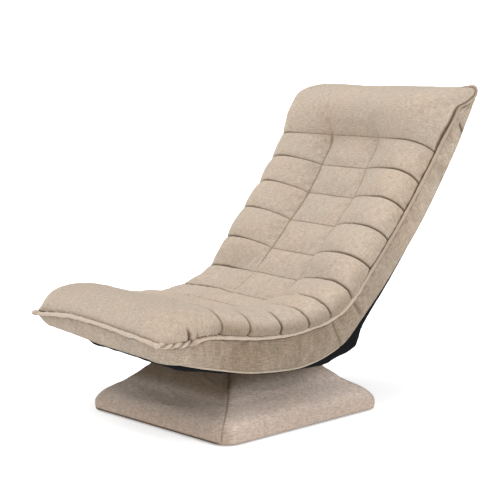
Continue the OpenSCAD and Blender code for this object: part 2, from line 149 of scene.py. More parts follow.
def noise(x, y=0.0, seed=0):
    """Smooth noise from -1 to 1 on a unit lattice."""
    x, y = np.broadcast_arrays(np.asarray(x, float), np.asarray(y, float))
    ix, iy = np.floor(x).astype(np.int64), np.floor(y).astype(np.int64)
    fx, fy = x - ix, y - iy
    ux, uy = fx * fx * (3 - 2 * fx), fy * fy * (3 - 2 * fy)
    a = hashed(ix, iy, seed) * (1 - ux) + hashed(ix + 1, iy, seed) * ux
    b = hashed(ix, iy + 1, seed) * (1 - ux) + hashed(ix + 1, iy + 1, seed) * ux
    return a * (1 - uy) + b * uy


def ridge(x, y=0.0, seed=0):
    """Narrow folds: 1 on a fold, falling to 0 beside it."""
    return np.clip(1 - 2.4 * np.abs(noise(x, y, seed)), 0, 1) ** 1.5


def step(a, b, x):
    t = np.clip((x - a) / (b - a), 0, 1)
    return t * t * (3 - 2 * t)


def q_of(u):
    """Place across: millimetres over the surface to the cross line's own measure."""
    a = np.abs(u)
    return np.sign(u) * np.where(a <= COL, a / COL, np.where(a <= COL + SIDE, 1 + (a - COL) / SIDE, 2 + (a - COL - SIDE) / FALL))


def level(s, u):
    """The surface on which the quilting seams lie, n x m x 3, in mm."""
    s, q = np.asarray(s, float), q_of(np.asarray(u, float))
    cy, cz, hc, xc, xo, W, py, pz = spline(SC, TAB, s).T
    a = spline(SC, TAB[:, :2], np.clip(s - 60, 0, END))
    b = spline(SC, TAB[:, :2], np.clip(s + 60, 0, END))
    t = (b - a) / np.linalg.norm(b - a, axis=1)[:, None]
    n = np.stack([-t[:, 1], t[:, 0]], 1)
    aq, sg = np.abs(q)[None, :], np.sign(q)[None, :]
    xc, xo, W, hc = (k[:, None] for k in (xc, xo, W, hc))
    left = np.where(sg[..., None] < 0, spline(LEFT[:, 0], LEFT[:, 1:], s)[:, None, :], 0)
    hc, xc, xo, W = hc + left[..., 0], xc + left[..., 1] + left[..., 2], xo + left[..., 1], W + left[..., 1] * (1 - step(2.4, 3, aq))
    W = np.where(aq >= 3, W, W)
    rx = xo - xc
    out = xo > W + 0.01
    fe = np.where(out, pi - np.arcsin(np.clip((W - xc) / np.where(rx == 0, 1, rx), -1, 1)), pi / 2)
    rx = np.where(out, rx, W - xc)
    tau = np.clip(aq - 1, 0, 1)
    f = np.clip(aq - 2, 0, 1) * fe
    x = np.where(aq <= 1, COL * aq, np.where(aq <= 2, COL + (xc - COL) * tau, xc + rx * np.sin(f)))
    g = np.where(aq > 2, (1 - np.cos(f)) / (1 - np.cos(fe)), 0)
    up = hc * np.sin(pi / 2 * tau**0.8)
    dy, dz = (py - cy)[:, None], (pz - cz)[:, None]
    return np.stack([sg * x, cy[:, None] + (1 - g) * up * n[:, :1] + g * dy,
                     cz[:, None] + (1 - g) * up * n[:, 1:] + g * dz], -1)


def normals(P):
    """Unit normals of a grid of points, out of the cushion for a grid that runs front to head and left to right."""
    a, b = np.gradient(P, axis=1), np.gradient(P, axis=0)
    n = np.cross(a, b)
    return n / (np.linalg.norm(n, axis=2)[..., None] + 1e-12)


def pillow(t, p):
    return 1 - np.abs(2 * np.clip(t, 0, 1) - 1) ** p


def puff(s, u):
    """Height of the padding over the seams, n x m."""
    q = q_of(u)
    aq = np.abs(q)
    along = np.zeros(len(s))
    for a, b in zip(ROWS[:-1], ROWS[1:]):
        i = (s >= a) & (s <= b)
        along[i] = pillow((s[i] - a) / (b - a), 2.8)
    before, after = s < ROWS[0], s > ROWS[-1]
    roll = np.zeros(len(s))
    roll[before] = 1 - (1 - np.clip((ROWS[0] - s[before]) / 40, 0, 1)) ** 2.4
    roll[after] = 0.35 * (1 - (1 - np.clip((s[after] - ROWS[-1]) / 60, 0, 1)) ** 2.4)
    mid = 3.6 * pillow((q + 1) / 2, 3.6)
    side = np.where(q < 0, 4.6, 7.5) * pillow((aq - 1) / 2, 3.6) * (0.62 + 0.38 * step(1.2, 2.2, aq))
    across = np.where(aq <= 1, mid, side)
    whole = 2.0 * pillow((q + 3) / 6, 6)
    quilted = (s >= ROWS[0]) & (s <= ROWS[-1])
    return np.where(quilted[:, None], along[:, None] * across[None, :], roll[:, None] * whole[None, :])


def graded(a, b, n, c):
    """n steps from a to b, closer together at both ends."""
    t = np.linspace(0, 1, n + 1)
    return a + (b - a) * (t - c / (2 * pi) * np.sin(2 * pi * t))


def joined(parts):
    return np.concatenate([parts[0]] + [p[1:] for p in parts[1:]])


def carry(knots, breaks, x):
    """Matrix that carries values at the knots to x by cubic pieces, with a kink allowed at each break."""
    M = np.zeros((len(x), len(knots)))
    k = np.arange(len(knots))
    D = np.zeros((2, len(knots), len(knots)))        # slopes to the left and right of a knot
    cut = [int(np.abs(knots - b).argmin()) for b in breaks]
    for i in k:
        for side in (0, 1):
            lo, hi = max(i - 1, 0), min(i + 1, len(knots) - 1)
            if i in cut or i in (0, len(knots) - 1):
                lo, hi = (lo, i) if side == 0 and i > 0 else (i, hi)
                if hi == lo:
                    lo, hi = (lo - 1, hi) if lo > 0 else (lo, hi + 1)
                D[side, i, hi] += 1 / (knots[hi] - knots[lo])
                D[side, i, lo] -= 1 / (knots[hi] - knots[lo])
            else:
                D[side, i, hi] += 1 / (knots[hi] - knots[lo])
                D[side, i, lo] -= 1 / (knots[hi] - knots[lo])
    idx = np.clip(np.searchsorted(knots, x, side="right") - 1, 0, len(knots) - 2)
    for r, (i, v) in enumerate(zip(idx, x)):
        h = knots[i + 1] - knots[i]
        t = (v - knots[i]) / h
        M[r, i] += 2 * t**3 - 3 * t**2 + 1
        M[r, i + 1] += -2 * t**3 + 3 * t**2
        M[r] += (t**3 - 2 * t**2 + t) * h * D[1, i] + (t**3 - t**2) * h * D[0, i + 1]
    return M


def both_ways(A, X, B):
    """Carries a grid of points X along by A and across by B."""
    Y = np.tensordot(A, X, (1, 0))
    return np.tensordot(Y, B, (1, 1)).transpose(0, 2, 1)


# ------------------------------------------------------------------ mesh helpers

def quads(n, m, wrap_n=False, wrap_m=False):
    i = np.arange(n if wrap_n else n - 1)
    j = np.arange(m if wrap_m else m - 1)
    I, J = np.meshgrid(i, j, indexing="ij")
    a, b = I * m + J, I * m + (J + 1) % m
    c, d = ((I + 1) % n) * m + (J + 1) % m, ((I + 1) % n) * m + J
    return np.stack([a, b, c, d], -1).reshape(-1, 4)


def build(name, verts, faces, uv=None, values=None, extra=(), smooth=True, rim=None):
    """Mesh object in metres from points in mm. uv is per vertex in metres; values are per vertex numbers by name.
    Faces from number rim on are the cut edges of a sheet and keep hard borders."""
    me = bpy.data.meshes.new(name)
    me.from_pydata((np.asarray(verts) * MM).tolist(), [], [list(map(int, f)) for f in faces] + [list(map(int, f)) for f in extra])
    me.validate()
    if uv is not None:
        layer = me.uv_layers.new(name="Cloth")
        idx = np.empty(len(me.loops), np.int32)
        me.loops.foreach_get("vertex_index", idx)
        layer.data.foreach_set("uv", np.asarray(uv, np.float32)[idx].ravel())
    for k, v in (values or {}).items():
        at = me.attributes.new(k, "FLOAT", "POINT")
        at.data.foreach_set("value", np.asarray(v, np.float32).ravel())
    bm = bmesh.new()
    bm.from_mesh(me)
    big = [f for f in bm.faces if len(f.verts) > 4]
    if big:
        bmesh.ops.triangulate(bm, faces=big)
    bmesh.ops.recalc_face_normals(bm, faces=bm.faces)
    if rim is not None:
        bm.faces.ensure_lookup_table()
        for f in bm.faces[rim:]:
            for e in f.edges:
                e.smooth = False
    bm.to_mesh(me)
    bm.free()
    if smooth:
        me.polygons.foreach_set("use_smooth", [True] * len(me.polygons))
    me.update()
    ob = bpy.data.objects.new(name, me)
    bpy.context.scene.collection.objects.link(ob)
    return ob


def cloth_solid(name, P, thick, uv, values=None, inward=None, smooth=True):
    """A sheet with both faces and its edges, from a grid of points; inward is the unit direction of its thickness."""
    n, m = P.shape[:2]
    N = -normals(P) if inward is None else inward
    V = np.concatenate([P.reshape(-1, 3), (P + N * thick).reshape(-1, 3)])
    F = quads(n, m)
    k = n * m
    loop = np.concatenate([np.arange(m), (np.arange(1, n) * m + m - 1), ((n - 1) * m + np.arange(m - 2, -1, -1)), (np.arange(n - 2, 0, -1) * m)])
    rim = np.stack([loop, np.roll(loop, -1), np.roll(loop, -1) + k, loop + k], -1)
    faces = np.concatenate([F, F[:, ::-1] + k, rim])
    uv2 = np.concatenate([uv.reshape(-1, 2)] * 2)
    vals = {a: np.concatenate([np.ravel(b)] * 2) for a, b in (values or {}).items()}
    return build(name, V, faces, uv2, vals, smooth=smooth, rim=2 * len(F))


def tube(name, path, radius, sides, uv_turn, values):
    """Closed loop of round cord. radius is per point, or per point and side; values(V) gives the numbers for its points."""
    n = len(path)
    t = np.roll(path, -1, 0) - np.roll(path, 1, 0)
    t /= np.linalg.norm(t, axis=1)[:, None]
    up = np.zeros((n, 3))
    up[0] = np.cross(t[0], [1, 0, 0])
    if np.linalg.norm(up[0]) < 0.1:
        up[0] = [0, 0, 1]
    up[0] -= t[0] * (up[0] @ t[0])
    up[0] /= np.linalg.norm(up[0])
    for i in range(1, n):
        v = up[i - 1] - t[i] * (up[i - 1] @ t[i])
        up[i] = v / np.linalg.norm(v)
    # close the turn between the last frame and the first
    last = up[-1] - t[0] * (up[-1] @ t[0])
    last /= np.linalg.norm(last)
    off = math.atan2(np.dot(np.cross(last, up[0]), t[0]), np.dot(last, up[0]))
    side = np.cross(t, up)
    a = np.linspace(0, 2 * pi, sides, endpoint=False)[None, :] + (np.arange(n) / n * off)[:, None]
    r = radius if radius.ndim == 2 else radius[:, None]
    V = path[:, None, :] + r[..., None] * (np.cos(a)[..., None] * up[:, None, :] + np.sin(a)[..., None] * side[:, None, :])
    arc = np.concatenate([[0], np.cumsum(np.linalg.norm(np.diff(path, axis=0), axis=1))])
    U = np.stack(np.broadcast_arrays(arc[:, None] * MM, (np.arange(sides) / sides * 2 * pi * 5)[None, :] * MM), -1)
    c, s = math.cos(uv_turn), math.sin(uv_turn)
    U = np.stack([U[..., 0] * c - U[..., 1] * s, U[..., 0] * s + U[..., 1] * c], -1)
    vals = {k: np.ravel(v) for k, v in values(V).items()}
    return build(name, V.reshape(-1, 3), quads(n, sides, True, True), U.reshape(-1, 2), vals), V


def relax(P, pinned, pressure, growth, frames, cap, bend=0.5):
    """Cloth simulation of a grid of points (mm): pressure from inside, cloth a little too large, pinned on its seams."""
    n, m = P.shape[:2]
    start = P * MM
    me = bpy.data.meshes.new("sim")
    me.from_pydata(start.reshape(-1, 3).tolist(), [], quads(n, m).tolist())
    me.update()
    ob = bpy.data.objects.new("sim", me)
    scene = bpy.context.scene
    scene.collection.objects.link(ob)
    group = ob.vertex_groups.new(name="pin")
    group.add([int(i) for i in np.flatnonzero(pinned.ravel())], 1.0, "REPLACE")
    mod = ob.modifiers.new("Cloth", "CLOTH")
    c = mod.settings
    c.quality = 5
    c.mass = 0.15
    c.air_damping = 2.0
    c.tension_stiffness = c.compression_stiffness = 12
    c.shear_stiffness = 5
    c.bending_stiffness = bend
    c.use_pressure = True
    c.uniform_pressure_force = pressure
    c.shrink_min = -growth
    c.vertex_group_mass = "pin"
    c.effector_weights.gravity = 0
    mod.collision_settings.use_collision = False
    mod.point_cache.frame_start, mod.point_cache.frame_end = 1, frames
    for f in range(1, frames + 1):
        scene.frame_set(f)
    dg = bpy.context.evaluated_depsgraph_get()
    e = ob.evaluated_get(dg)
    co = np.empty(n * m * 3, np.float32)
    e.data.vertices.foreach_get("co", co)
    out = co.reshape(n, m, 3).astype(float)
    bpy.data.objects.remove(ob)
    scene.frame_set(1)
    move = (out - start) / MM
    d = np.linalg.norm(move, axis=2)
    print("relaxed", n, m, "mean move", round(float(d.mean()), 2), "most", round(float(d.max()), 2))
    move *= np.minimum(1, cap / np.maximum(d, 1e-9))[..., None]
    return P + move


# ------------------------------------------------------------------ cushion skin: simulated, then refined

segs = [0.0] + ROWS + [END]
counts = [42] + [10] * 8 + [30]
S_C = joined([np.linspace(a, b, k + 1) for a, b, k in zip(segs[:-1], segs[1:], counts)])
half_c = joined([np.linspace(COL, COL + SIDE, 22), np.linspace(COL + SIDE, COL + SIDE + FALL, 15)])
U_C = np.concatenate([-half_c[::-1], np.linspace(-COL, COL, 25)[1:-1], half_c])
base_c = level(S_C, U_C)
norm_c = normals(base_c)
rough_c = base_c + norm_c * (puff(S_C, U_C) * 0.8)[..., None]

on_row = np.isin(np.round(S_C, 6), np.round(ROWS, 6))
on_col = np.isin(np.round(np.abs(U_C), 6), [COL])
quilted_rows = (S_C >= ROWS[0] - 1e-6) & (S_C <= ROWS[-1] + 1e-6)
pin = on_row[:, None] | (on_col[None, :] & quilted_rows[:, None])
pin = pin | (np.arange(len(S_C)) % (len(S_C) - 1) == 0)[:, None] | (np.arange(len(U_C)) % (len(U_C) - 1) == 0)[None, :]
skin_c = relax(rough_c, pin, 3.0, 0.012, 20, 4.5, 1.5)
# the rolls are packed tighter than the quilted field, so their cloth moves less
tight = (1 - 0.75 * (step(0, 40, ROWS[0] - S_C) + step(0, 30, S_C - ROWS[-1])))[:, None, None]
lift = (skin_c - rough_c) * tight + rough_c - base_c

s_parts = [graded(segs[0], segs[1], 190, 0.35)] + [graded(a, b, 32, 0.6) for a, b in zip(segs[1:-2], segs[2:-1])] + [graded(segs[-2], segs[-1], 86, 0.35)]
S_F = joined(s_parts)
half_f = graded(COL, COL + SIDE + FALL, 78, 0.62)
U_F = np.concatenate([-half_f[::-1], graded(-COL, COL, 44, 0.7)[1:-1], half_f])
Ms, Mu = carry(S_C, ROWS, S_F), carry(U_C, [-COL, COL], U_F)
base_f = level(S_F, U_F)
skin = base_f + both_ways(Ms, lift, Mu)
norm_f = normals(base_f)

SS, UU = np.meshgrid(S_F, U_F, indexing="ij")
AU = np.abs(UU)
d_row = np.min(np.abs(S_F[:, None] - np.array(ROWS)[None, :]), axis=1)[:, None] + 0 * UU
inside = (SS >= ROWS[0] - 12) & (SS <= ROWS[-1] + 12)
fade_ends = step(ROWS[0] - 12, ROWS[0], SS) * (1 - step(ROWS[-1], ROWS[-1] + 26, SS))
d_col = np.where(inside, np.abs(AU - COL), 99) + (1 - fade_ends) * 6
edge_d = COL + SIDE + FALL - AU                         # over the surface to the piped seam
low_bolster = step(COL + 60, COL + 190, AU)             # the seams pull deeper towards the piping
wide_r = 1.3 + 0.7 * low_bolster
groove = np.exp(-(d_row / wide_r) ** 2)
groove_c = np.exp(-(d_col / 1.7) ** 2) * fade_ends
lower_back = step(S["R4"], S["R6"], SS) + 0 * UU
deep = 1.0 + 0.4 * step(COL, COL + 60, AU) + (1.7 + 1.7 * lower_back) * low_bolster
deep = np.where(np.abs(SS - ROWS[-1]) < 12, 0.55 * deep, deep)
push = -np.maximum(deep * groove, 1.0 * groove_c)
# painted shade: the seam value darkens the quilting seams, more towards the piping and on the far left rows, less at
# the head seam
light_seam = np.where(np.abs(SS - ROWS[-1]) < 12, 0.62 + 0.38 * low_bolster, 1.0)
far_row = 0.24 * (UU < -40) * (1 - step(S["R7"], S["R6"], SS))
seam = np.maximum(groove * light_seam * (0.58 + 0.12 * step(COL, COL + 60, AU) + 0.3 * low_bolster + far_row), 0.55 * groove_c)
# small puckers that run out from the seams
pk = 0.75 * noise(UU / 7.0, SS / 60.0, 3) * np.exp(-np.abs(d_row - 4) / 6.0) * fade_ends
pk += 0.6 * noise(SS / 7.0, UU / 60.0, 4) * np.exp(-np.abs(d_col - 4) / 6.0)
push += pk
# short folds gathered along the piped seam, strongest at the front corners
corner = np.exp(-((SS - 112) / 40.0) ** 2)
head_corner = np.exp(-((SS - 1008) / 34.0) ** 2)
gather = (0.8 + 1.9 * corner + 2.2 * head_corner) * np.exp(-edge_d / (13 + 12 * corner + 10 * head_corner)) * step(0, 5, edge_d)
lean = SS + 0.25 * edge_d * np.sign(0.5 - corner)
push += gather * (ridge(lean / 8.0, edge_d / 70.0 + 40 * (UU > 0), 7) * 1.2 - 0.5)
# small upright folds between the corner crease and the first part seams
fine = np.exp(-((SS - 140) / 62.0) ** 2) * np.exp(-edge_d / 24.0) * step(0, 4, edge_d)
push += 1.7 * fine * np.sin(2 * pi * (lean + 2.2 * noise(SS / 22.0, edge_d / 30.0, 8)) / 7.4)
# painted shade in the valleys of these small folds
fold_valley_shade = 0.7 * fine * np.clip(-np.sin(2 * pi * (lean + 2.2 * noise(SS / 22.0, edge_d / 30.0, 8)) / 7.4), 0, 1)


def tuck(s0, u0, depth, width, bend=0.0):
    """Part seam from a place on the bolster down to the piped seam."""
    d = SS - (s0 + bend * (AU - u0) / 100.0)
    run = step(u0, u0 + 45, AU)
    return depth * run * np.exp(-(d / width) ** 2), run * np.exp(-(d / 2.0) ** 2)


# each tuck is pressed in, and its line gets painted shade
for s0, u0, depth, width, bend in ((S["R10"], COL + 40, 4.2, 3.6, 0), (S["R11"], COL + 78, 3.8, 3.6, 0)):
    a, b = tuck(s0, u0, depth, width, bend)
    push -= a
    seam = np.maximum(seam, (0.75 + 0.25 * step(COL + 110, COL + 190, AU)) * b)
# one deep crease at each front corner, where the cord is knotted
d = SS - (85 - 0.14 * edge_d)
crease = np.exp(-(d / (2.6 + 0.02 * edge_d)) ** 2) * (1 - step(24, 50, edge_d)) * step(0, 3, edge_d)
push -= 6.0 * crease
push += 2.6 * np.exp(-((d - 7.5) / 4.0) ** 2) * (1 - step(16, 42, edge_d)) * step(0, 4, edge_d)
second = np.exp(-((SS - (101 - 0.10 * edge_d)) / 2.2) ** 2) * (1 - step(14, 32, edge_d)) * step(0, 3, edge_d)
push -= 2.6 * second
# painted shade in the corner creases and the fold valleys
seam = np.maximum.reduce([seam, 1.0 * crease, 0.6 * second, fold_valley_shade])
# the ends of the column seams run out into the headrest as a short dimple
for sg in (-1, 1):
    stub = np.exp(-((UU - sg * COL) / 5.0) ** 2) * step(ROWS[-1] - 2, ROWS[-1] + 2, SS) * (1 - step(ROWS[-1] + 2, ROWS[-1] + 26, SS))
    push -= 0.7 * stub
# slow unevenness of the filling
push += 1.1 * noise(SS / 46.0, UU / 52.0, 11) * step(0, 30, edge_d) + 0.5 * noise(SS / 21.0, UU / 26.0, 12) * step(0, 20, edge_d)
hold = step(0, 4, edge_d) * step(0, 4, SS) * step(0, 4, END - SS)
skin = skin + norm_f * (push * hold)[..., None]


# painted shade: the side wall of the bolster lies in the shade of its crown, and the front roll and the seat front are
# painted a little darker
painted_shade_skin = 0.62 * step(66, 22, edge_d) * step(95, 175, SS) * (1 - 0.7 * step(440, 600, SS)) * (1 - step(860, 960, SS)) * (UU > 0)
painted_shade_skin = np.maximum(painted_shade_skin, 0.10 * (1 - step(60, 230, SS)) + 0.05 * (1 - step(230, 400, SS)))


def sag(P):
    """The left front corner hangs a little lower than the right one, and the left side is sat down by the hinge."""
    x, y, z = P[..., 0], P[..., 1], P[..., 2]
    w = step(50, 275, -x) * step(-190, -320, y) * np.where(z < 229, np.clip((z - 188) / 41, 0, 1), 1 - step(229, 264, z))
    far = step(90, 270, -x) * np.exp(-((y - 25) / 75.0) ** 2) * np.clip((z - 150) / 50, 0, 1) * (1 - step(290, 340, z))
    out = P.copy()
    out[..., 2] -= 15.5 * w + 5.5 * far
    return out


skin = sag(skin)
# painted shade next to the piped seam and at both ends of the skin
near_edge = 1.0 - step(6.0, 13.0, np.clip(edge_d, 0, None))
near_ends = np.exp(-SS / 3.0) + np.exp(-(END - SS) / 3.0)
seam = np.clip(np.maximum(seam, np.maximum(near_edge, near_ends)), 0, 1)
skin_uv = np.stack([UU * MM, SS * MM], -1)


def cushion(name, i0, i1):
    """Closed form: the skin from line i0 to i1, and a plain underside that rests on the webbing."""
    top = skin[i0:i1 + 1]
    n, m = top.shape[:2]
    s = S_F[i0:i1 + 1]
    low = spline(LOW[:, 0], LOW[:, 1:], s)
    w = spline(SC, TAB[:, 5], s) - 9
    py, pz = spline(SC, TAB[:, 6], s), spline(SC, TAB[:, 7], s)
    mid = np.stack([(py + low[:, 0]) / 2, (pz + low[:, 1]) / 2], 1)
    ring = []
    xs = np.concatenate([[1.0], np.linspace(0.985, -0.985, 21), [-1.0]])
    for k, x in enumerate(xs):
        yz = mid if k in (0, len(xs) - 1) else low - 1.2 * (1 - x * x) * 0
        ring.append(np.stack([w * x, yz[:, 0], yz[:, 1]], 1))
    under = np.stack(ring, 1)
    V = np.concatenate([top, under], 1)
    k = V.shape[1]
    F = quads(n, k, False, True)
    caps = [list(range(k))[::-1], [(n - 1) * k + j for j in range(k)]]
    uv = np.concatenate([skin_uv[i0:i1 + 1], np.stack([under[..., 0] * MM, np.repeat(s[:, None], len(xs), 1) * MM], -1)], 1)
    sm = np.concatenate([seam[i0:i1 + 1], np.zeros((n, len(xs)))], 1)
    tn = np.concatenate([painted_shade_skin[i0:i1 + 1], np.zeros((n, len(xs)))], 1)
    return build(name, V.reshape(-1, 3), F, uv.reshape(-1, 2), {"seam": sm, "painted_shade": tn}, extra=caps)


i_front = int(np.abs(S_F - ROWS[0]).argmin())
i_head = int(np.abs(S_F - ROWS[-1]).argmin())
front_cushion = cushion("front_roll_cushion", 0, i_front)
quilted_cushion = cushion("quilted_cushion", i_front, i_head)
head_cushion = cushion("headrest_cushion", i_head, len(S_F) - 1)

# ------------------------------------------------------------------ boxing round the sides and the front

s_box = np.linspace(74, END, 340)
V_BOX = 27
v = np.linspace(0, 1, V_BOX)


def side_boxing(sg, seed):
    """Side boxing from the piped seam to the lower edge, between the front corner and the head."""
    row = spline(SC, TAB, s_box)
    W, py, pz = row[:, 5], row[:, 6], row[:, 7]
    e = spline(EDGE[:, 0], EDGE[:, 1:], s_box)
    A = np.stack([W + 0.5, py, pz - 1.0], 1)
    B = e.copy()
    P = A[:, None] * (1 - v)[None, :, None] + B[:, None] * v[None, :, None]
    tall = np.linalg.norm((B - A)[:, 1:], axis=1)
    # the boxing swells a little between its two seams
    swell = np.clip(tall / 75, 0.25, 1) * 6.0
    P[..., 0] += swell[:, None] * np.sin(pi * v[None, :] ** 0.85) ** 0.9
    coarse_s, coarse_v = np.arange(0, len(s_box), 3), np.arange(0, V_BOX, 2)
    C = P[np.ix_(coarse_s, coarse_v)]
    C = C.copy()
    C[..., 0] += 0.8 * noise(s_box[coarse_s][:, None] / 24.0, v[coarse_v][None, :] * 1.3, seed) * np.sin(pi * v[coarse_v])[None, :]
    pinned = np.zeros(C.shape[:2], bool)
    pinned[[0, -1]] = True
    pinned[:, [0, -1]] = True
    R = relax(C, pinned, 1.5, 0.018, 16, 3.5, 0.6) - P[np.ix_(coarse_s, coarse_v)]
    R *= (1 - 0.55 * step(480, 640, s_box[coarse_s]))[:, None, None] * (1 - v[coarse_v] ** 3)[None, :, None]
    Ma, Mb = carry(coarse_s.astype(float), [], np.arange(len(s_box), dtype=float)), carry(coarse_v.astype(float), [], np.arange(V_BOX, dtype=float))
    P = P + both_ways(Ma, R, Mb)
    ss, vv = np.meshgrid(s_box, v, indexing="ij")
    env = np.sin(pi * vv**0.8) ** 0.7 * (1 - step(0.7, 1.0, vv))
    upper, lower = step(540, 800, ss), 1 - step(420, 500, ss)
    fold = lower * (1.5 * (ridge(ss / 31.0, vv * 0.5, seed + 1) - 0.3) + 0.6 * (ridge(ss / 12.0, vv * 0.8, seed + 2) - 0.3))
    slant = ss + 52 * vv
    fold += (1 - lower) * (0.5 + 0.5 * upper) * (3.2 * (ridge(slant / 36.0, vv * 0.7, seed + 5) - 0.3) + 0.9 * (ridge(slant / 15.0, vv * 1.1, seed + 6) - 0.3))
    out = fold * env
    tiny = np.exp(-((ss - 150) / 70.0) ** 2)
    out += (0.12 + 0.35 * tiny) * np.sin(2 * pi * (ss + 2.2 * noise(ss / 25.0, vv * 2, seed + 3)) / 5.4) * np.exp(-vv * (3.5 - 2 * tiny)) * step(0, 0.05, vv)
    # the join of the boxing strip at the hinge and the fold behind it
    join = np.exp(-((ss - (S["R7"] + 6 + 3 * vv)) / 1.8) ** 2)
    out += -1.8 * join + 1.0 * np.exp(-((ss - (S["R7"] + 11 + 3 * vv)) / 3.5) ** 2) * env
    out += (-3.2 * np.exp(-((ss - (S["R6"] + 3)) / 4.5) ** 2) + 2.0 * np.exp(-((ss - (S["R6"] - 9)) / 6.0) ** 2)) * env
    # the cloth is cut and folded under near the head corner, which leaves a short slit
    slit = np.exp(-((ss - (966 - 6 * vv)) / 3.8) ** 2) * step(0.42, 0.5, vv) * (1 - step(0.92, 0.97, vv))
    out += -3.4 * slit - 1.8 * np.exp(-((ss - (984 - 42 * vv)) / 4.0) ** 2) * (1 - step(0.4, 0.6, vv)) * step(0, 0.1, vv)
    P[..., 0] += out
    # the lower edge is turned under by a narrow hem
    hem = np.exp(-((vv - 0.93) / 0.012) ** 2)
    P[..., 0] -= 0.8 * hem + 2.0 * step(0.955, 1.0, vv) ** 2
    P[..., 0] *= sg
    inward = np.zeros(P.shape)
    inward[..., 0] = -sg
    arc = np.concatenate([[0], np.cumsum(np.linalg.norm(np.diff((A + B) / 2, axis=0), axis=1))])
    uv = np.stack([arc[:, None] * MM + 0 * vv, vv * tall[:, None] * MM], -1)
    # painted shade just under the piping, in the hem, in the slit and in the fold valley behind the hinge; the join of
    # the strip is a darker line as well
    sm = np.clip(np.maximum.reduce([1 - step(2.0, 8.5, vv * tall[:, None]), 0.75 * join, 0.45 * hem, slit,
                                    0.6 * env * np.exp(-((ss - (S["R6"] + 3)) / 5.0) ** 2)]), 0, 1)
    P = sag(P)
    # painted shade over the side boxing, strongest on its lower middle, with a random mottle; the hem edge is left
    # lighter as a painted highlight and the slit is darkest
    painted_shade = np.interp(ss, [74, 110, 190, 430, 560, 800, 1090], [0.26, 0.47, 0.73, 0.69, 0.46, 0.30, 0.30])
    painted_shade = np.clip(painted_shade + 0.10 * noise(ss / 17.0 + 1.2 * vv, vv * 1.4, seed + 8) * (0.5 + 1.4 * upper) + 0.07 * noise(ss / 7.0 + vv, vv * 2.5, seed + 9), 0, 1)
    painted_shade = np.maximum(painted_shade * (1 - 0.85 * step(0.945, 0.965, vv)), slit)
    return cloth_solid("boxing_right" if sg > 0 else "boxing_left", P, 1.8, uv, {"seam": sm, "painted_shade": painted_shade}, inward), P, float(arc[-1]), float(tall.mean())


boxing_right, BR, box_len, box_tall = side_boxing(1, 21)
boxing_left, BL, _, _ = side_boxing(-1, 31)

# The front: piping line with sharp corners above, a rounded corner below
FRONT_S = np.linspace(74, 0, 16)
row = spline(SC, TAB, FRONT_S)
top_side = np.stack([row[:, 5] + 0.5, row[:, 6], row[:, 7] - 1.0], 1)
top_side[0] = BR[0, 0]


def front_top(x):
    return np.stack([x, -344 + 0 * x - 1.5 * (1 - (x / 270) ** 2), 229 + 4.5 * (1 - (np.abs(x) / 270) ** 2.2)], 1)


xf = np.linspace(270, 0, 60)
top_line = np.concatenate([top_side, front_top(xf)[1:]])
E0 = BR[0, -1]
arc_n = 40
a = np.linspace(0, pi / 2, arc_n)
cx, cy, rx, ry = 214.0, -288.0, float(E0[0]) - 214.0, 47.0
arc_pts = np.stack([cx + rx * np.cos(a), cy - ry * np.sin(a), np.interp(a, [0, pi / 4, pi / 2], [float(E0[2]), 187, 191])], 1)
arc_pts[:, 1] += (float(E0[1]) - cy) * (1 - a / (pi / 2))
low_front = np.stack([np.linspace(214, 0, 44), np.full(44, -335.0), np.linspace(191, 187.5, 44)], 1)[1:]
low_line = np.concatenate([arc_pts, low_front])


def resample(path, fr):
    L = np.concatenate([[0], np.cumsum(np.linalg.norm(np.diff(path, axis=0), axis=1))])
    t = fr * L[-1]
    return np.stack([np.interp(t, L, path[:, k]) for k in range(path.shape[1])], 1), L


topd, Lt = resample(top_line, np.linspace(0, 1, 2))
lowd, Ll = resample(low_line, np.linspace(0, 1, 2))
k_top = [0, Lt[15] / Lt[-1], Lt[15 + 6] / Lt[-1], 1]
k_low = [0, Ll[arc_n // 2] / Ll[-1], Ll[arc_n - 1] / Ll[-1], 1]
par = np.concatenate([np.linspace(0, k_top[1], 26)[:-1], np.linspace(k_top[1], 1, 96)])
T_half, _ = resample(top_line, par)
L_half, _ = resample(low_line, np.interp(par, k_top, k_low))
FT = np.concatenate([T_half, (T_half * [-1, 1, 1])[-2::-1]])
FL = np.concatenate([L_half, (L_half * [-1, 1, 1])[-2::-1]])
FP = FT[:, None] * (1 - v)[None, :, None] + FL[:, None] * v[None, :, None]
par_all = np.concatenate([par, 2 - par[-2::-1]]) * Lt[-1]
pp, vv = np.meshgrid(par_all, v, indexing="ij")
outw = np.stack([FL[:, 0] * 0, FL[:, 0] * 0, FL[:, 0] * 0], 1)
tang = np.gradient((FT + FL) / 2, axis=0)
outw = np.cross(np.array([0, 0, 1.0])[None, :], tang)
outw[:, 2] = 0
outw /= np.linalg.norm(outw, axis=1)[:, None] + 1e-9
if outw[len(outw) // 2, 1] > 0:
    outw = -outw
for _ in range(4):
    outw[1:-1] = (outw[:-2] + outw[1:-1] + outw[2:]) / 3
outw[0], outw[-1] = [1, 0, 0], [-1, 0, 0]
outw /= np.linalg.norm(outw, axis=1)[:, None]
end_fade = step(0, 30, np.minimum(pp, 2 * Lt[-1] - pp))
sw = 6.5 + (4.0 - 6.5) * end_fade
bulge = sw * np.sin(pi * vv) ** 0.8
bulge += (1.3 * (ridge(pp / 42.0, vv * 0.6, 41) - 0.3) + 0.6 * noise(pp / 18.0, vv * 1.6, 42)) * np.sin(pi * vv) * end_fade
bulge += 0.5 * noise(pp / 6.5, vv * 0.7, 43) * np.exp(-vv * 5) * step(0, 0.06, vv) * end_fade
hem = np.exp(-((vv - 0.93) / 0.012) ** 2)
bulge -= 0.8 * hem + 2.0 * step(0.955, 1.0, vv) ** 2
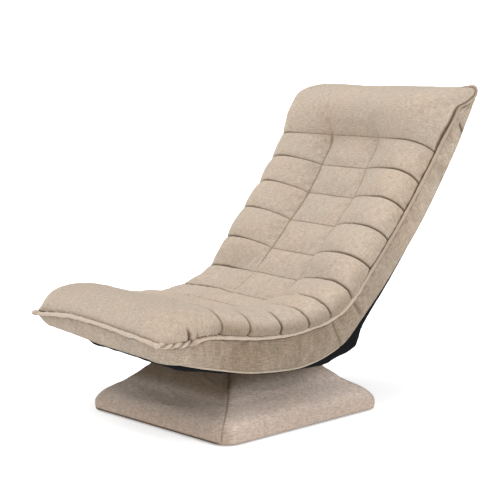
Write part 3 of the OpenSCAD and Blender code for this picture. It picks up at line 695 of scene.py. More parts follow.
FP = sag(FP + outw[:, None] * bulge[..., None])
FP[0] = BR[0]
FP[-1] = BL[0]
fr_tall = np.linalg.norm(FL - FT, axis=1)
fr_arc = np.concatenate([[0], np.cumsum(np.linalg.norm(np.diff((FT + FL) / 2, axis=0), axis=1))])
f_uv = np.stack([-fr_arc[:, None] * MM + 0 * vv, vv * fr_tall[:, None] * MM], -1)
# painted shade: darker under the piping and in the hem; the whole band carries painted shade with a random mottle, its
# hem edge left lighter as a painted highlight
f_sm = np.clip(np.maximum(1 - step(2.0, 8.0, vv * fr_tall[:, None]), 0.45 * hem), 0, 1)
front_band = cloth_solid("front_band_cover", FP, 1.8, f_uv, {"seam": f_sm, "painted_shade": (0.36 + 0.08 * noise(pp / 40.0, vv, 44)) * (1 - 0.85 * step(0.945, 0.965, vv))}, -np.repeat(outw[:, None], V_BOX, 1))

# Head band: over the back of the headrest roll, from the piped seam down to the black panel
hx = np.linspace(268, -268, 150)
xi = np.abs(hx) / 268
prof = np.array([(449, 694), (455, 696.5), (461, 695), (466, 690), (468.5, 683), (469, 673), (468.5, 660)], float)
hp = spline(np.arange(7.0), prof, np.linspace(0, 6, 22))
HB = np.zeros((len(hx), len(hp), 3))
wide = np.interp(np.linspace(0, 1, len(hp)), [0, 0.5, 1], [1.0, 0.985, 0.945])
HB[..., 0] = hx[:, None] * wide[None, :]
lift_end = 4.0 * xi**6
HB[..., 1] = hp[None, :, 0] + 0 * hx[:, None]
HB[..., 2] = hp[None, :, 1] + lift_end[:, None] * np.linspace(1, 0, len(hp))[None, :]
hh, hv = np.meshgrid(hx, np.linspace(0, 1, len(hp)), indexing="ij")
bump = (1.0 * noise(hh / 16.0, hv * 2, 51) + 1.2 * (ridge(hh / 26.0 + hv, hv, 52) - 0.3)) * np.sin(pi * hv) ** 0.5
HB[..., 1] += bump * 0.8
HB[..., 2] += bump * 0.6 * (1 - hv)
h_uv = np.stack([hh * MM, hv * 0.06], -1)
# painted shade along the piped seam at its top and along its lower edge by the black panel
head_band = cloth_solid("head_band_cover", HB, 1.8, h_uv, {"seam": np.clip(np.exp(-hv * 14) + 0.6 * np.exp(-(1 - hv) * 20), 0, 1)})

# ------------------------------------------------------------------ piping, one loop round the whole cushion

side_s = np.linspace(10, 960, 400)
row = spline(SC, TAB, side_s)
side_path = np.stack([row[:, 5] + 3.0, row[:, 6], row[:, 7]], 1)
# at the headrest the cord turns back in a notch before it runs up to the corner
notch = np.array([[264.5, 409, 640], [263.5, 416, 652], [264, 420, 657.5], [265.5, 428, 661.5], [267.5, 441, 666.5], [269, 453, 674],
                  [270, 461, 682]])
side_path = np.vstack([side_path, notch])
ear_f = np.array([[271.5, -345, 229.8], [275.5, -349.5, 229.6], [275, -351.5, 229.8], [270, -350, 230.2], [262, -347.8, 230.6]])
front_x = np.linspace(254, -254, 200)
front_path = front_top(front_x) + np.array([0, -2.6, 1.4])
ear_h = np.array([[270, 463.5, 690], [270, 462, 696.5], [268.5, 457, 701], [263, 452, 701], [255, 450.5, 698.5]])
head_x = np.linspace(250, -250, 190)
head_path = np.stack([head_x, np.full(190, 451.0), 694.5 + 4.0 * (np.abs(head_x) / 258) ** 8], 1)
mirror = np.array([-1, 1, 1.0])
loop = np.concatenate([front_path[::-1], ear_f[::-1], side_path, ear_h, head_path, (ear_h * mirror)[::-1], (side_path * mirror)[::-1], ear_f * mirror])
L = np.concatenate([[0], np.cumsum(np.linalg.norm(np.diff(np.vstack([loop, loop[:1]]), axis=0), axis=1))])
n_loop = int(L[-1] / 1.6)
t = np.linspace(0, L[-1], n_loop, endpoint=False)
closed = np.vstack([loop, loop[:1]])
loop = np.stack([np.interp(t, L, closed[:, k]) for k in range(3)], 1)
for _ in range(4):
    loop = (np.roll(loop, 1, 0) + 2 * loop + np.roll(loop, -1, 0)) / 4
loop = sag(loop)
ax, y, z = np.abs(loop[:, 0]), loop[:, 1], loop[:, 2]
arc = np.arange(n_loop) * 1.6
is_side = (ax > 255)
twisted = is_side * step(-268, -276, y) * step(-350, -344, y)
knot = is_side * np.exp(-((y + 272) / 5.5) ** 2)
back_part = is_side * step(90, 200, y)
r0 = 5.0 - 1.5 * back_part + 1.0 * twisted + 2.0 * knot + (0.3 + 0.35 * (z < 300)) * noise(arc / 15.0, 0, 61) + (0.2 + 0.15 * (z < 300)) * noise(arc / 5.0, 0, 62)
r0 -= 0.6 * (~is_side & (z < 400)) + 0.8 * (~is_side & (z > 400))
theta = np.linspace(0, 2 * pi, 20, endpoint=False)[None, :]
lay = np.abs(np.cos(theta + arc[:, None] / 19.0 * pi))          # two strands laid round each other
rad = r0[:, None] * (1 + twisted[:, None] * (0.42 * lay**0.7 - 0.36) + 0.02 * np.sin(3 * theta + arc[:, None] / 5))
loop[:, 2] += twisted * 0.8 * np.sin(arc / 6.0) + 0.8 * knot + 0.8 * (z < 300) * noise(arc / 23.0, 0, 63)
loop[:, 0] += np.sign(loop[:, 0]) * (1.4 * knot)
into = np.where(is_side[:, None], np.stack([-np.sign(loop[:, 0]), 0 * y, 0 * y], 1), np.stack([0 * y, np.where(z < 400, 1.0, -1.0), 0 * y], 1))


# painted shade: the cord's side against the cushion, the grooves between its two strands and the knot are darkened; its
# back part gets painted shade too
def cord_values(V):
    n = V - loop[:, None, :]
    n /= np.linalg.norm(n, axis=2)[..., None]
    inner = (n * into[:, None, :]).sum(2)
    return {"seam": np.clip(step(0.0, 0.8, inner) + twisted[:, None] * (1 - lay) ** 1.5 + 0.3 * knot[:, None], 0, 1),
            "painted_shade": 0.30 * np.broadcast_to(back_part[:, None], V.shape[:2])}


piping, pipe_V = tube("piping", loop, rad, 20, pi / 4, cord_values)

# ------------------------------------------------------------------ black underside

s_un = joined([np.linspace(0, 272, 70), np.linspace(272, 424, 50), np.linspace(424, 560, 60), np.linspace(560, 1042, 120)])
e = spline(EDGE[:, 0], EDGE[:, 1:], s_un)
un = np.stack([np.interp(s_un, UNDER[:, 0], UNDER[:, k]) for k in (1, 2)], 1)
soft = un.copy()
for _ in range(6):
    soft[1:-1] = (soft[:-2] + 2 * soft[1:-1] + soft[2:]) / 4
flatten = (step(250, 272, s_un) * (1 - step(410, 424, s_un)) + step(700, 730, s_un) * (1 - step(812, 830, s_un)))[:, None]
un = soft * (1 - flatten) + un * flatten
front_in = np.interp(s_un, [0, 30, 74, 110], [200, 238, 262, 268])
We = np.minimum(e[:, 0] - 2.2, np.where(s_un < 110, front_in, 999))
ey = np.where(s_un < 74, np.interp(s_un, [0, 74], [-333.5, e[np.abs(s_un - 74).argmin(), 1]]), e[:, 1])
xi = np.concatenate([-1 + (1 - np.cos(np.linspace(0, pi / 2, 16))) * 0.28, np.linspace(-0.72, 0.72, 44)[1:-1], (1 - (1 - np.cos(np.linspace(0, pi / 2, 16))) * 0.28)[::-1]])
near_hinge = np.where(s_un < 455, np.exp(-((s_un - 455) / 45.0) ** 2), (0.55 + 0.45 * (1 - step(470, 520, s_un))) * (1 - step(620, 720, s_un)))
drop = 1 - np.abs(xi)[None, :] ** (26 + 50 * near_hinge[:, None])
UP = np.zeros((len(s_un), len(xi), 3))
UP[..., 0] = We[:, None] * xi[None, :]
edge_yz = np.stack([ey, e[:, 2] + 1.0], 1)
UP[..., 1] = edge_yz[:, 0:1] + (un[:, 0:1] - edge_yz[:, 0:1]) * drop
UP[..., 2] = edge_yz[:, 1:2] + (un[:, 1:2] - edge_yz[:, 1:2]) * drop
# the cloth hangs a little between the side tube and its hem
across_x = np.abs(UP[..., 0])
UP[..., 2] -= (2.0 + 3.0 * step(230, 330, s_un))[:, None] * step(150, 200, across_x) * (1 - step(248, 264, across_x)) * (step(30, 90, s_un) * (1 - step(395, 420, s_un)))[:, None]
# and its folded edge shows as a dark line under the front band
UP[..., 2] -= np.interp(UP[..., 0], [-72, -50, 0, 60, 150, 260], [0, 7.0, 5.0, 3.6, 2.4, 2.0]) * (step(0, 28, s_un) * (1 - step(95, 150, s_un)))[:, None]
uu, xx = np.meshgrid(s_un, UP[len(s_un) // 2, :, 0], indexing="ij")
Nn = -normals(UP)
free = np.clip((step(440, 470, uu) * (1 - step(690, 715, uu)) + step(835, 860, uu)) + (1 - step(225, 250, uu)) * step(10, 40, uu), 0, 1)
wr = 1.4 * (ridge(xx / 60.0 + uu / 200, uu / 90.0, 71) - 0.35) + 0.7 * noise(xx / 18.0, uu / 26.0, 72)
shroud = np.exp(-((uu - 485) / 30.0) ** 2)
wr += shroud * 2.2 * (ridge(uu / 13.0 + xx / 300, xx / 120.0, 73) - 0.3)
UP = UP + Nn * (wr * free * (1 - np.abs(xi[None, :]) ** 20))[..., None]
un_arc = np.concatenate([[0], np.cumsum(np.linalg.norm(np.diff(un, axis=0), axis=1))])
u_uv = np.stack([xx * MM, un_arc[:, None] * MM + 0 * xx], -1)
underside = cloth_solid("underside_cloth", UP, 1.4, u_uv, {"seam": np.clip(np.abs(xi[None, :]) ** 60 + 0 * uu, 0, 1)}, -Nn)

# ------------------------------------------------------------------ base cover

FLARE = np.array([(3.4, 229.5, 38), (10, 230.3, 38), (17, 230.4, 38), (22.5, 229.8, 38), (28, 227.4, 38), (33.5, 223.8, 37.5), (39.5, 217.2, 36.5),
                  (46, 207.8, 35), (53, 196, 33), (60, 184.3, 32), (67, 174, 30), (75, 165, 28), (82, 156.5, 26.5), (90, 148, 25), (98, 139, 23.5),
                  (105, 131, 22), (113, 122.5, 21), (119, 117, 20), (121.4, 113, 19.5), (121.9, 108, 19), (121.9, 96, 17), (121.9, 86, 15)], float)
TURN = math.radians(9)
zs = joined([np.linspace(0, 1, 8), np.linspace(1, len(FLARE) - 1, 110)])
fl = spline(np.arange(len(FLARE), dtype=float), FLARE, zs)
fl[:, 0] = np.minimum(fl[:, 0], 122.0)
side_t = graded(-1, 1, 54, 0.75)
corner_t = np.linspace(0, pi / 2, 33)
rows_b, uvs_b, seams_b, wts = [], [], [], []
for z_, a_, r_ in fl:
    pts, uvp, sme, wgt = [], [], [], []
    for k in range(4):
        st = (a_ - r_) * side_t[:-1]
        x = st
        y_ = np.full(len(st), -a_)
        ca = corner_t[:-1]
        X = np.concatenate([x, (a_ - r_) + r_ * np.sin(ca)])
        Y = np.concatenate([y_, -(a_ - r_) - r_ * np.cos(ca)])
        U_ = np.concatenate([x, (a_ - r_) + r_ * ca])
        c, s_ = math.cos(k * pi / 2), math.sin(k * pi / 2)
        pts.append(np.stack([X * c - Y * s_, X * s_ + Y * c], 1))
        uvp.append(U_ + k * 1000.0)
        # the hip seam runs down a little to one side of the corner
        sme.append(np.concatenate([np.full(len(st), 999.0), r_ * (ca - pi / 4 + 0.26 * (1 - float(step(8, 85, z_))))]))
        wgt.append(np.concatenate([1 - np.abs(side_t[:-1]) ** 2, np.zeros(len(ca))]))
    rows_b.append(np.concatenate(pts))
    uvs_b.append(np.concatenate(uvp))
    seams_b.append(np.concatenate(sme))
    wts.append(np.concatenate(wgt))
RB, UB, SB, WB = (np.array(k) for k in (rows_b, uvs_b, seams_b, wts))
ZB = np.repeat(fl[:, 0:1], RB.shape[1], 1)
slope = np.concatenate([[0], np.cumsum(np.hypot(np.diff(fl[:, 0]), np.diff(fl[:, 1])))])
BP = np.concatenate([RB, ZB[..., None]], -1)
Nb = np.cross(np.roll(BP, -1, 1) - np.roll(BP, 1, 1), np.gradient(BP, axis=0))
Nb /= np.linalg.norm(Nb, axis=2)[..., None] + 1e-9
if (Nb[2, :, :2] * RB[2]).sum() < 0:
    Nb = -Nb
slb = np.repeat(slope[:, None], RB.shape[1], 1)
flank = step(26, 48, slb) * (1 - step(slope[-1] - 42, slope[-1] - 18, slb))
dseam = np.abs(SB)
base_push = -1.1 * np.exp(-(dseam / 1.5) ** 2) * np.maximum(flank, step(2, 8, slb) * (1 - step(30, 60, slb))) + 0.7 * np.exp(-((dseam - 5) / 3.5) ** 2) * flank
kk = UB / 1000.0
side_no = np.round(kk)
calm = np.where(side_no == 0, 0.55, np.where(side_no == 1, 0.25, 0.8))
base_push += calm * flank * (2.6 * (ridge(slb / 34.0 + UB / 150.0, UB / 80.0, 81) - 0.3) + 1.0 * noise(UB / 24.0, slb / 20.0, 82)) * np.clip(WB * 1.4, 0.15, 1)
base_push += 1.6 * (ridge(slb / 8.5, kk * 3, 83) - 0.3) * np.exp(-dseam / 9.0) * flank
base_push += 0.9 * noise(UB / 11.0, slb / 50.0, 84) * np.exp(-np.abs(slb - 34) / 12.0)
# the front panel is pressed in a little where it is held
dent_s, dent_u = slb - 66 - 0.05 * UB - 0.0007 * UB**2, np.where(side_no == 0, UB, 900.0)
dent = np.exp(-(dent_s / np.where(dent_s > 0, 22.0, 9.0)) ** 2) * np.exp(-((dent_u + 10) / 95.0) ** 4)
base_push -= 2.6 * dent
base_push = np.maximum(base_push + 1.6 * flank, 0.3 * flank)
hem_b = np.exp(-((slb - 8.0) / 1.2) ** 2)
base_push -= 0.25 * hem_b
BP = BP + Nb * (base_push * step(0, 4, slb))[..., None]
BP[..., 2] = np.clip(BP[..., 2], 3.2, 122.0)
c, s_ = math.cos(TURN), math.sin(TURN)
rot = np.array([[c, -s_, 0], [s_, c, 0], [0, 0, 1]])
BP = BP @ rot.T
Nb = Nb @ rot.T
n, m = BP.shape[:2]
inner = BP - Nb * 1.8
inner[..., 2] = np.where(slb > slope[-1] - 45, np.minimum(inner[..., 2], BP[..., 2] - 1.8), inner[..., 2])
k = n * m
Vb = np.concatenate([BP.reshape(-1, 3), inner.reshape(-1, 3)])
Fb = quads(n, m, False, True)
j = np.arange(m)
rims = [np.stack([j, (j + 1) % m, (j + 1) % m + k, j + k], 1), np.stack([(n - 1) * m + j, (n - 1) * m + (j + 1) % m, (n - 1) * m + (j + 1) % m + k, (n - 1) * m + j + k], 1)]
faces_b = np.concatenate([Fb, Fb[:, ::-1] + k] + rims)
uv_b = np.stack([UB * MM, slb * MM], -1)
seam_run = np.maximum(flank, step(2, 8, slb) * (1 - step(30, 60, slb)))
# painted shadow: a dark band along the bottom edge, full strength except on the +x side, where it is weaker
dark_side = np.where(side_no == 1, 0.0, np.where((side_no == 0) & (SB < 900), 1 - step(-14, 6, SB), 1.0))
painted_bottom_shadow = dark_side * (1 - step(6.6, 8.6, BP[..., 2])) + (1 - dark_side) * 0.45 * (1 - step(4.4, 6.4, BP[..., 2]))
bs = np.clip(np.maximum(0.8 * np.exp(-(dseam / 1.6) ** 2) * seam_run, painted_bottom_shadow), 0, 1)
# painted shade on the base cover: darker towards the top under the seat, more on the front flank, at the rim and in the
# dent
to_front, at_rim = step(0.1, 0.5, -Nb[..., 1]), 1 - step(20, 46, BP[..., 2])
painted_shade_base = np.clip(step(74, 116, BP[..., 2] + 12 * to_front) ** 0.9 + 0.20 * at_rim + 0.06 * at_rim * to_front + 0.13 * to_front + 0.19 * np.maximum(to_front, at_rim) + 0.16 * dent, 0, 1)
painted_shade_base = np.maximum(painted_shade_base, painted_bottom_shadow)
# painted shade in the seam value near the top, under the seat
bs = np.maximum(bs, 0.4 * step(84, 118, BP[..., 2]))
base_cover = build("base_cover_cloth", Vb, faces_b, np.concatenate([uv_b.reshape(-1, 2)] * 2),
                   {"seam": np.concatenate([bs.ravel()] * 2), "painted_shade": np.concatenate([painted_shade_base.ravel()] * 2)}, rim=2 * len(Fb))

# ------------------------------------------------------------------ materials


class Mat:
    """Small helper to write a node material."""

    def __init__(self, name):
        self.m = bpy.data.materials.new(name)
        self.m.use_nodes = True
        self.t = self.m.node_tree
        self.b = self.t.nodes["Principled BSDF"]

    def link(self, a, b):
        self.t.links.new(a, b)

    def put(self, sock, v):
        if isinstance(v, bpy.types.NodeSocket):
            self.link(v, sock)
        else:
            sock.default_value = v

    def math(self, op, a, b=0.0, c=None):
        n = self.t.nodes.new("ShaderNodeMath")
        n.operation = op
        self.put(n.inputs[0], a)
        self.put(n.inputs[1], b)
        if c is not None:
            self.put(n.inputs[2], c)
        return n.outputs[0]

    def uv(self):
        n = self.t.nodes.new("ShaderNodeUVMap")
        n.uv_map = "Cloth"
        return n.outputs[0]

    def obj(self):
        return self.t.nodes.new("ShaderNodeTexCoord").outputs["Object"]

    def scaled(self, vec, scale, turn=0.0, loc=(0, 0, 0)):
        n = self.t.nodes.new("ShaderNodeMapping")
        self.link(vec, n.inputs["Vector"])
        n.inputs["Scale"].default_value = scale
        n.inputs["Rotation"].default_value = (0, 0, turn)
        n.inputs["Location"].default_value = loc
        return n.outputs[0]

    def noise(self, vec, detail=2.0, rough=0.5, scale=1.0):
        n = self.t.nodes.new("ShaderNodeTexNoise")
        self.link(vec, n.inputs["Vector"])
        n.inputs["Scale"].default_value = scale
        n.inputs["Detail"].default_value = detail
        n.inputs["Roughness"].default_value = rough
        return n.outputs[0]

    def cells(self, vec, scale, feature="F1"):
        n = self.t.nodes.new("ShaderNodeTexVoronoi")
        n.feature = feature
        self.link(vec, n.inputs["Vector"])
        n.inputs["Scale"].default_value = scale
        return n.outputs["Distance"]

    def split(self, vec):
        n = self.t.nodes.new("ShaderNodeSeparateXYZ")
        self.link(vec, n.inputs[0])
        return n.outputs

    def value(self, name):
        n = self.t.nodes.new("ShaderNodeAttribute")
        n.attribute_name = name
        return n.outputs["Fac"]

    def mix(self, f, a, b, blend="MIX"):
        n = self.t.nodes.new("ShaderNodeMix")
        n.data_type = "RGBA"
        n.blend_type = blend
        self.put(n.inputs["Factor"], f)
        for sock, v in ((n.inputs[6], a), (n.inputs[7], b)):
            self.put(sock, v if isinstance(v, bpy.types.NodeSocket) else (*v, 1.0))
        return n.outputs[2]

    def span(self, v, a, b, c, d):
        n = self.t.nodes.new("ShaderNodeMapRange")
        self.put(n.inputs[0], v)
        for i, x in enumerate((a, b, c, d)):
            n.inputs[i + 1].default_value = x
        return n.outputs[0]

    def bump(self, h, strength, distance):
        n = self.t.nodes.new("ShaderNodeBump")
        n.inputs["Strength"].default_value = strength
        n.inputs["Distance"].default_value = distance
        self.link(h, n.inputs["Height"])
        self.link(n.outputs[0], self.b.inputs["Normal"])

    def set(self, **kw):
        for k, v in kw.items():
            self.put(self.b.inputs[k.replace("_", " ")], v)
        return self.m


def shade(c, k):
    return tuple(min(1.0, x * k) for x in c)


def linen(name, colour, pitch=0.0013, contrast=1.0, turn=0.0, seam_dark=0.6):
    """Plain woven cotton linen: fine threads, uneven slubs both ways, slow mottling; painted shade darkens it by its
    painted_shade value and in its seams and creases.
    """
    k = Mat(name)
    uv = k.uv()
    if turn:
        uv = k.scaled(uv, (1, 1, 1), turn)
    sep = k.split(uv)
    a = k.math("SINE", k.math("MULTIPLY", sep[0], 2 * pi / pitch))
    b = k.math("SINE", k.math("MULTIPLY", sep[1], 2 * pi / pitch))
    weave = k.math("MULTIPLY_ADD", k.math("MULTIPLY", a, b), 0.5, 0.5)
    slub1 = k.noise(k.scaled(uv, (62, 560, 1)), 2.5, 0.6)
    slub2 = k.noise(k.scaled(uv, (560, 62, 1), 0, (3.1, 7.7, 0)), 2.5, 0.6)
    thick1 = k.span(k.noise(k.scaled(uv, (34, 300, 1), 0, (9.3, 1.2, 0)), 1.5, 0.5), 0.60, 0.74, 0, 1)
    thick2 = k.span(k.noise(k.scaled(uv, (300, 34, 1), 0, (5.3, 4.2, 0)), 1.5, 0.5), 0.60, 0.74, 0, 1)
    mottle = k.noise(k.scaled(k.obj(), (9, 9, 9)), 3.0, 0.55)
    fleck = k.noise(k.scaled(k.obj(), (230, 230, 230)), 2.5, 0.65)
    f = k.math("ADD", k.math("MULTIPLY_ADD", slub1, 2.1 * contrast, 0.5 - 1.05 * contrast),
               k.math("MULTIPLY_ADD", slub2, 1.5 * contrast, -0.75 * contrast))
    f = k.math("ADD", f, k.math("MULTIPLY_ADD", mottle, 0.30 * contrast, -0.15 * contrast))
    f = k.math("ADD", f, k.math("MULTIPLY_ADD", fleck, 0.65 * contrast, -0.325 * contrast))
    f = k.math("ADD", f, k.math("MULTIPLY_ADD", weave, 0.26, -0.13))
    f = k.math("SUBTRACT", f, k.math("MULTIPLY", k.math("SUBTRACT", thick1, thick2), 0.22 * contrast))
    warm = k.mix(k.span(mottle, 0.35, 0.65, 0, 1), shade(colour, 1.0), (colour[0] * 1.02, colour[1] * 0.985, colour[2] * 0.95))
    dark = k.mix(1.0, warm, (0.76, 0.745, 0.73), "MULTIPLY")
    light = k.mix(1.0, warm, (1.24, 1.25, 1.26), "MULTIPLY")
    col = k.mix(k.span(f, 0, 1, 0, 1), dark, light)
    # painted shade: the colour is darkened as far as the painted_shade value says
    col = k.mix(k.value("painted_shade"), col, k.mix(1.0, col, (0.37, 0.31, 0.23), "MULTIPLY"))
    # painted shade in seams, creases and fold valleys, by the seam value
    seam_f = k.math("MULTIPLY", k.value("seam"), k.math("MULTIPLY_ADD", fleck, 0.5, 0.75))
    col = k.mix(seam_f, col, k.mix(1.0, col, (1 - seam_dark, 1 - seam_dark * 1.09, 1 - seam_dark * 1.2), "MULTIPLY"))
    h = k.math("ADD", k.math("MULTIPLY", weave, 0.4), k.math("ADD", k.math("MULTIPLY", slub1, 1.1), k.math("MULTIPLY", slub2, 1.1)))
    h = k.math("ADD", h, k.math("MULTIPLY", fleck, 0.5))
    k.bump(h, 0.6, 0.0011)
    return k.set(Base_Color=col, Roughness=k.span(mottle, 0.3, 0.7, 0.84, 0.96), Sheen_Weight=0.15, Sheen_Roughness=0.5,
                 Sheen_Tint=(1.0, 0.97, 0.93, 1.0), Specular_IOR_Level=0.2)


def fleece(name, colour=(0.0062, 0.0062, 0.0072)):
    """Black spun-bonded lining: fine random fibres and a faint pressed dot pattern."""
    k = Mat(name)
    o = k.obj()
    fibre = k.noise(k.scaled(o, (900, 300, 300)), 3.0, 0.7)
    cloud = k.noise(k.scaled(o, (22, 22, 22)), 3.0, 0.5)
    dots = k.cells(o, 420.0)
    f = k.math("ADD", k.math("MULTIPLY", fibre, 0.6), k.math("MULTIPLY", cloud, 0.4))
    col = k.mix(k.span(f, 0.3, 0.7, 0, 1), shade(colour, 0.6), shade(colour, 1.8))
    k.bump(k.math("ADD", k.math("MULTIPLY", fibre, 0.5), dots), 0.4, 0.0004)
    return k.set(Base_Color=col, Roughness=k.span(cloud, 0.3, 0.7, 0.75, 0.95), Specular_IOR_Level=0.03)


def ribbed(name, colour=(0.02, 0.02, 0.022), pitch=0.0018):
    k = Mat(name)
    o = k.obj()
    s = k.split(o)
    rib = k.math("SINE", k.math("MULTIPLY", k.math("ADD", s[0], k.math("MULTIPLY", s[1], 0.35)), 2 * pi / pitch))
    wear = k.noise(k.scaled(o, (60, 60, 60)), 3.0, 0.6)
    col = k.mix(k.span(k.math("MULTIPLY_ADD", rib, 0.25, wear), 0.2, 0.9, 0, 1), shade(colour, 0.6), shade(colour, 2.4))
    k.bump(rib, 0.5, 0.0004)
    return k.set(Base_Color=col, Roughness=k.span(wear, 0.3, 0.7, 0.6, 0.85), Specular_IOR_Level=0.3)


def foam(name, colour=(0.78, 0.68, 0.42)):
    k = Mat(name)
    o = k.obj()
    c = k.cells(o, 700.0)
    m = k.noise(k.scaled(o, (30, 30, 30)), 2.0, 0.5)
    col = k.mix(k.span(k.math("ADD", k.math("MULTIPLY", c, 0.8), m), 0.3, 1.2, 0, 1), shade(colour, 0.72), shade(colour, 1.15))
    k.bump(c, 0.8, 0.0006)
    return k.set(Base_Color=col, Roughness=k.span(m, 0.3, 0.7, 0.85, 1.0), Specular_IOR_Level=0.2)


def board(name, colour=(0.36, 0.24, 0.13)):
    k = Mat(name)
    o = k.obj()
    g = k.noise(k.scaled(o, (14, 160, 160)), 4.0, 0.6)
    chips = k.cells(o, 160.0)
    col = k.mix(k.span(k.math("MULTIPLY_ADD", chips, 0.3, g), 0.3, 0.9, 0, 1), shade(colour, 0.6), shade(colour, 1.35))
    k.bump(g, 0.4, 0.0006)
    return k.set(Base_Color=col, Roughness=k.span(g, 0.3, 0.7, 0.6, 0.85))


def rubber(name):
    k = Mat(name)
    o = k.obj()
    d = k.noise(k.scaled(o, (70, 70, 70)), 3.0, 0.6)
    f = k.noise(k.scaled(o, (900, 900, 900)), 2.0, 0.6)
    col = k.mix(k.span(d, 0.35, 0.7, 0, 1), (0.012, 0.012, 0.012), (0.045, 0.043, 0.04))
    k.bump(f, 0.4, 0.0003)
    return k.set(Base_Color=col, Roughness=k.span(d, 0.3, 0.7, 0.7, 0.92))


def plastic(name):
    k = Mat(name)
    o = k.obj()
    g = k.noise(k.scaled(o, (1200, 1200, 1200)), 2.0, 0.5)
    s = k.noise(k.scaled(o, (45, 45, 45)), 3.0, 0.6)
    col = k.mix(k.span(s, 0.35, 0.7, 0, 1), (0.014, 0.014, 0.016), (0.034, 0.034, 0.037))
    k.bump(g, 0.3, 0.0002)
    return k.set(Base_Color=col, Roughness=k.span(s, 0.3, 0.7, 0.38, 0.6))


def painted(name):
    k = Mat(name)
    o = k.obj()
    peel = k.noise(k.scaled(o, (420, 420, 420)), 2.0, 0.5)
    dust = k.noise(k.scaled(o, (18, 18, 18)), 4.0, 0.6)
    chip = k.noise(k.scaled(o, (130, 130, 130)), 4.0, 0.7)
    col = k.mix(k.span(dust, 0.4, 0.75, 0, 1), (0.018, 0.018, 0.02), (0.05, 0.048, 0.045))
    col = k.mix(k.span(chip, 0.70, 0.74, 0, 1), col, (0.16, 0.15, 0.14))
    k.bump(peel, 0.3, 0.0003)
    return k.set(Base_Color=col, Roughness=k.span(dust, 0.3, 0.7, 0.28, 0.5), Coat_Weight=0.15, Coat_Roughness=0.25)


def zinc(name):
    k = Mat(name)
    o = k.obj()
    grain = k.noise(k.scaled(o, (60, 900, 900)), 3.0, 0.6)
    spangle = k.cells(o, 120.0)
    stain = k.noise(k.scaled(o, (28, 28, 28)), 4.0, 0.6)
    col = k.mix(k.span(k.math("MULTIPLY_ADD", spangle, 0.5, stain), 0.3, 1.0, 0, 1), (0.34, 0.34, 0.33), (0.72, 0.72, 0.71))
    k.bump(grain, 0.25, 0.0002)
    return k.set(Base_Color=col, Metallic=1.0, Roughness=k.span(stain, 0.3, 0.7, 0.28, 0.5))


BEIGE = (0.426, 0.356, 0.286)
cover = linen("cover_fabric", BEIGE, contrast=0.9, seam_dark=0.7)
cover_side = linen("cover_fabric_side", BEIGE, contrast=1.5)
# the piping's cloth is 10% lighter: a painted highlight on the well-lit cord
piping_cloth_painted_light = linen("cover_fabric_piping_painted_light", shade(BEIGE, 1.10), contrast=0.6, turn=0.0, seam_dark=0.72)
base_cloth = linen("base_fabric", (0.625, 0.524, 0.458), contrast=1.3, seam_dark=0.6)
black = fleece("black_cloth")
SLOTS = {"cover_fabric": cover, "black_cloth": black, "webbing": ribbed("webbing"), "foam": foam("foam"), "board": board("board"),
         "rubber": rubber("rubber"), "plastic": plastic("plastic"), "painted_steel": painted("painted_steel"), "zinc_steel": zinc("zinc_steel")}
slot_of = {p["node"]: p["material_slot"] for p in frame["record"]["subparts"]}
for name, ob in frame["nodes"].items():
    mat = SLOTS[slot_of[name]]
    if not ob.material_slots:
        ob.data.materials.append(mat)
    for sl in ob.material_slots:
        sl.material = mat

for ob, mat, slot in ((front_cushion, cover, "cover_fabric"), (quilted_cushion, cover, "cover_fabric"), (head_cushion, cover, "cover_fabric"),
                      (boxing_right, cover_side, "cover_fabric"), (boxing_left, cover_side, "cover_fabric"), (front_band, cover_side, "cover_fabric"),
                      (head_band, cover_side, "cover_fabric"), (piping, piping_cloth_painted_light, "cover_fabric"), (underside, black, "black_cloth"),
                      (base_cover, base_cloth, "cover_fabric")):
    ob.data.materials.append(mat)

# ------------------------------------------------------------------ what moves with what

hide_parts("front_roll_cover", "front_roll_foam")
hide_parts("seat_quilt", "crease_quilt", "back_quilt", "seat_foam", "crease_foam", "back_foam")
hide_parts("headrest_cover", "headrest_foam")
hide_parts("seat_boxing_right", "back_boxing_right", "crease_boxing")
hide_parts("seat_boxing_left", "back_boxing_left", "crease_boxing")
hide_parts("front_band")
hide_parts("head_band")
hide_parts("seat_piping", "crease_piping", "back_piping")
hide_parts("seat_underside", "hinge_shroud", "back_underside")
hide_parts("base_cover")
for ob in (quilted_cushion, boxing_right, boxing_left, piping, underside):
    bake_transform(ob)
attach(front_cushion, "seat")
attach(front_band, "seat")
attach(head_cushion, "back")
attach(head_band, "back")
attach(base_cover, "base")


def area(ob):
    me = ob.data
    a = np.empty(len(me.polygons))
    me.polygons.foreach_get("area", a)
    return round(float(a.sum()) / 2, 4)


print("half areas", {ob.name: area(ob) for ob in (boxing_right, boxing_left, front_band, head_band, underside, base_cover)})
print("faces", {ob.name: len(ob.data.polygons) for ob in (front_cushion, quilted_cushion, head_cushion, boxing_right, front_band, head_band, piping, underside, base_cover)})

# ------------------------------------------------------------------ floor, light, camera

bm = bmesh.new()
bmesh.ops.create_grid(bm, x_segments=24, y_segments=24, size=60.0)
me = bpy.data.meshes.new("floor")
bm.to_mesh(me)
bm.free()
floor = bpy.data.objects.new("floor", me)
floor.location = (0, 0, -0.0004)
bpy.context.scene.collection.objects.link(floor)
k = Mat("floor")
n1 = k.noise(k.scaled(k.obj(), (1.5, 1.5, 1.5)), 2.0, 0.5)
k.set(Base_Color=k.mix(k.span(n1, 0.3, 0.7, 0, 1), (0.84, 0.84, 0.84), (0.86, 0.86, 0.86)), Roughness=0.9, Specular_IOR_Level=0.1,
      Emission_Color=(1.0, 1.0, 1.0, 1.0), Emission_Strength=0.42)
floor.data.materials.append(k.m)

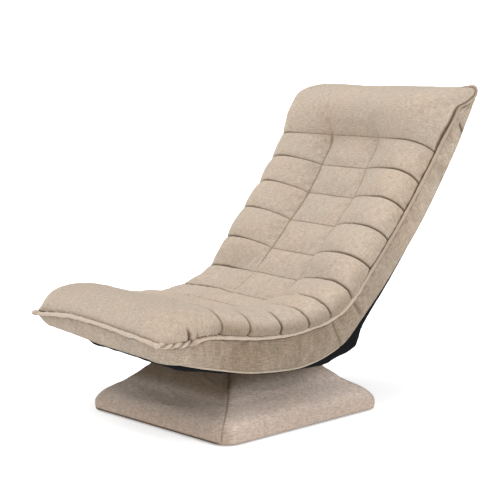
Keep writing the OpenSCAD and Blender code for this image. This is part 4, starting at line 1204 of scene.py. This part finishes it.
scene = bpy.context.scene
scene.view_settings.view_transform = "Standard"
world = bpy.data.worlds.new("studio")
scene.world = world
world.use_nodes = True
wt = world.node_tree
bg = wt.nodes["Background"]
tc = wt.nodes.new("ShaderNodeTexCoord")
sp = wt.nodes.new("ShaderNodeSeparateXYZ")
wt.links.new(tc.outputs["Generated"], sp.inputs[0])
mr = wt.nodes.new("ShaderNodeMapRange")
mr.interpolation_type = "SMOOTHSTEP"
wt.links.new(sp.outputs["Z"], mr.inputs[0])
for i, x in enumerate((0.10, 0.28, 1.12, 0.40)):
    mr.inputs[i + 1].default_value = x
wt.links.new(mr.outputs[0], bg.inputs["Strength"])
bg.inputs["Color"].default_value = (1.0, 1.0, 1.0, 1.0)


def sun(name, towards, strength, angle, colour=(1, 1, 1)):
    """Wide soft light from far away, so that the floor is lit the same all over."""
    d = bpy.data.lights.new(name, "SUN")
    d.energy = strength
    d.angle = math.radians(angle)
    d.color = colour
    ob = bpy.data.objects.new(name, d)
    ob.rotation_mode = "QUATERNION"
    ob.rotation_quaternion = Vector(towards).to_track_quat("Z", "Y")
    scene.collection.objects.link(ob)


sun("key", (-0.16, -0.46, 1.0), 2.15, 60)
sun("top", (0.75, 0.12, 1.0), 1.65, 60)

YAW, PITCH, ROLL = math.radians(56.4), math.radians(7.86), math.radians(-0.75)
fwd = Vector((-math.sin(YAW) * math.cos(PITCH), math.cos(YAW) * math.cos(PITCH), -math.sin(PITCH)))
right = Vector((math.cos(YAW), math.sin(YAW), 0))
up = right.cross(fwd)
r2 = right * math.cos(ROLL) + up * math.sin(ROLL)
u2 = -right * math.sin(ROLL) + up * math.cos(ROLL)
cam_d = bpy.data.cameras.new("camera")
cam_d.lens = 1376 / 500 * 36
cam_d.sensor_width = 36
cam_d.clip_end = 300
cam = bpy.data.objects.new("camera", cam_d)
M = Matrix((r2, u2, -fwd)).transposed().to_4x4()
M.translation = Vector((2.500, -1.614, 0.764))
cam.matrix_world = M
scene.collection.objects.link(cam)
scene.camera = cam
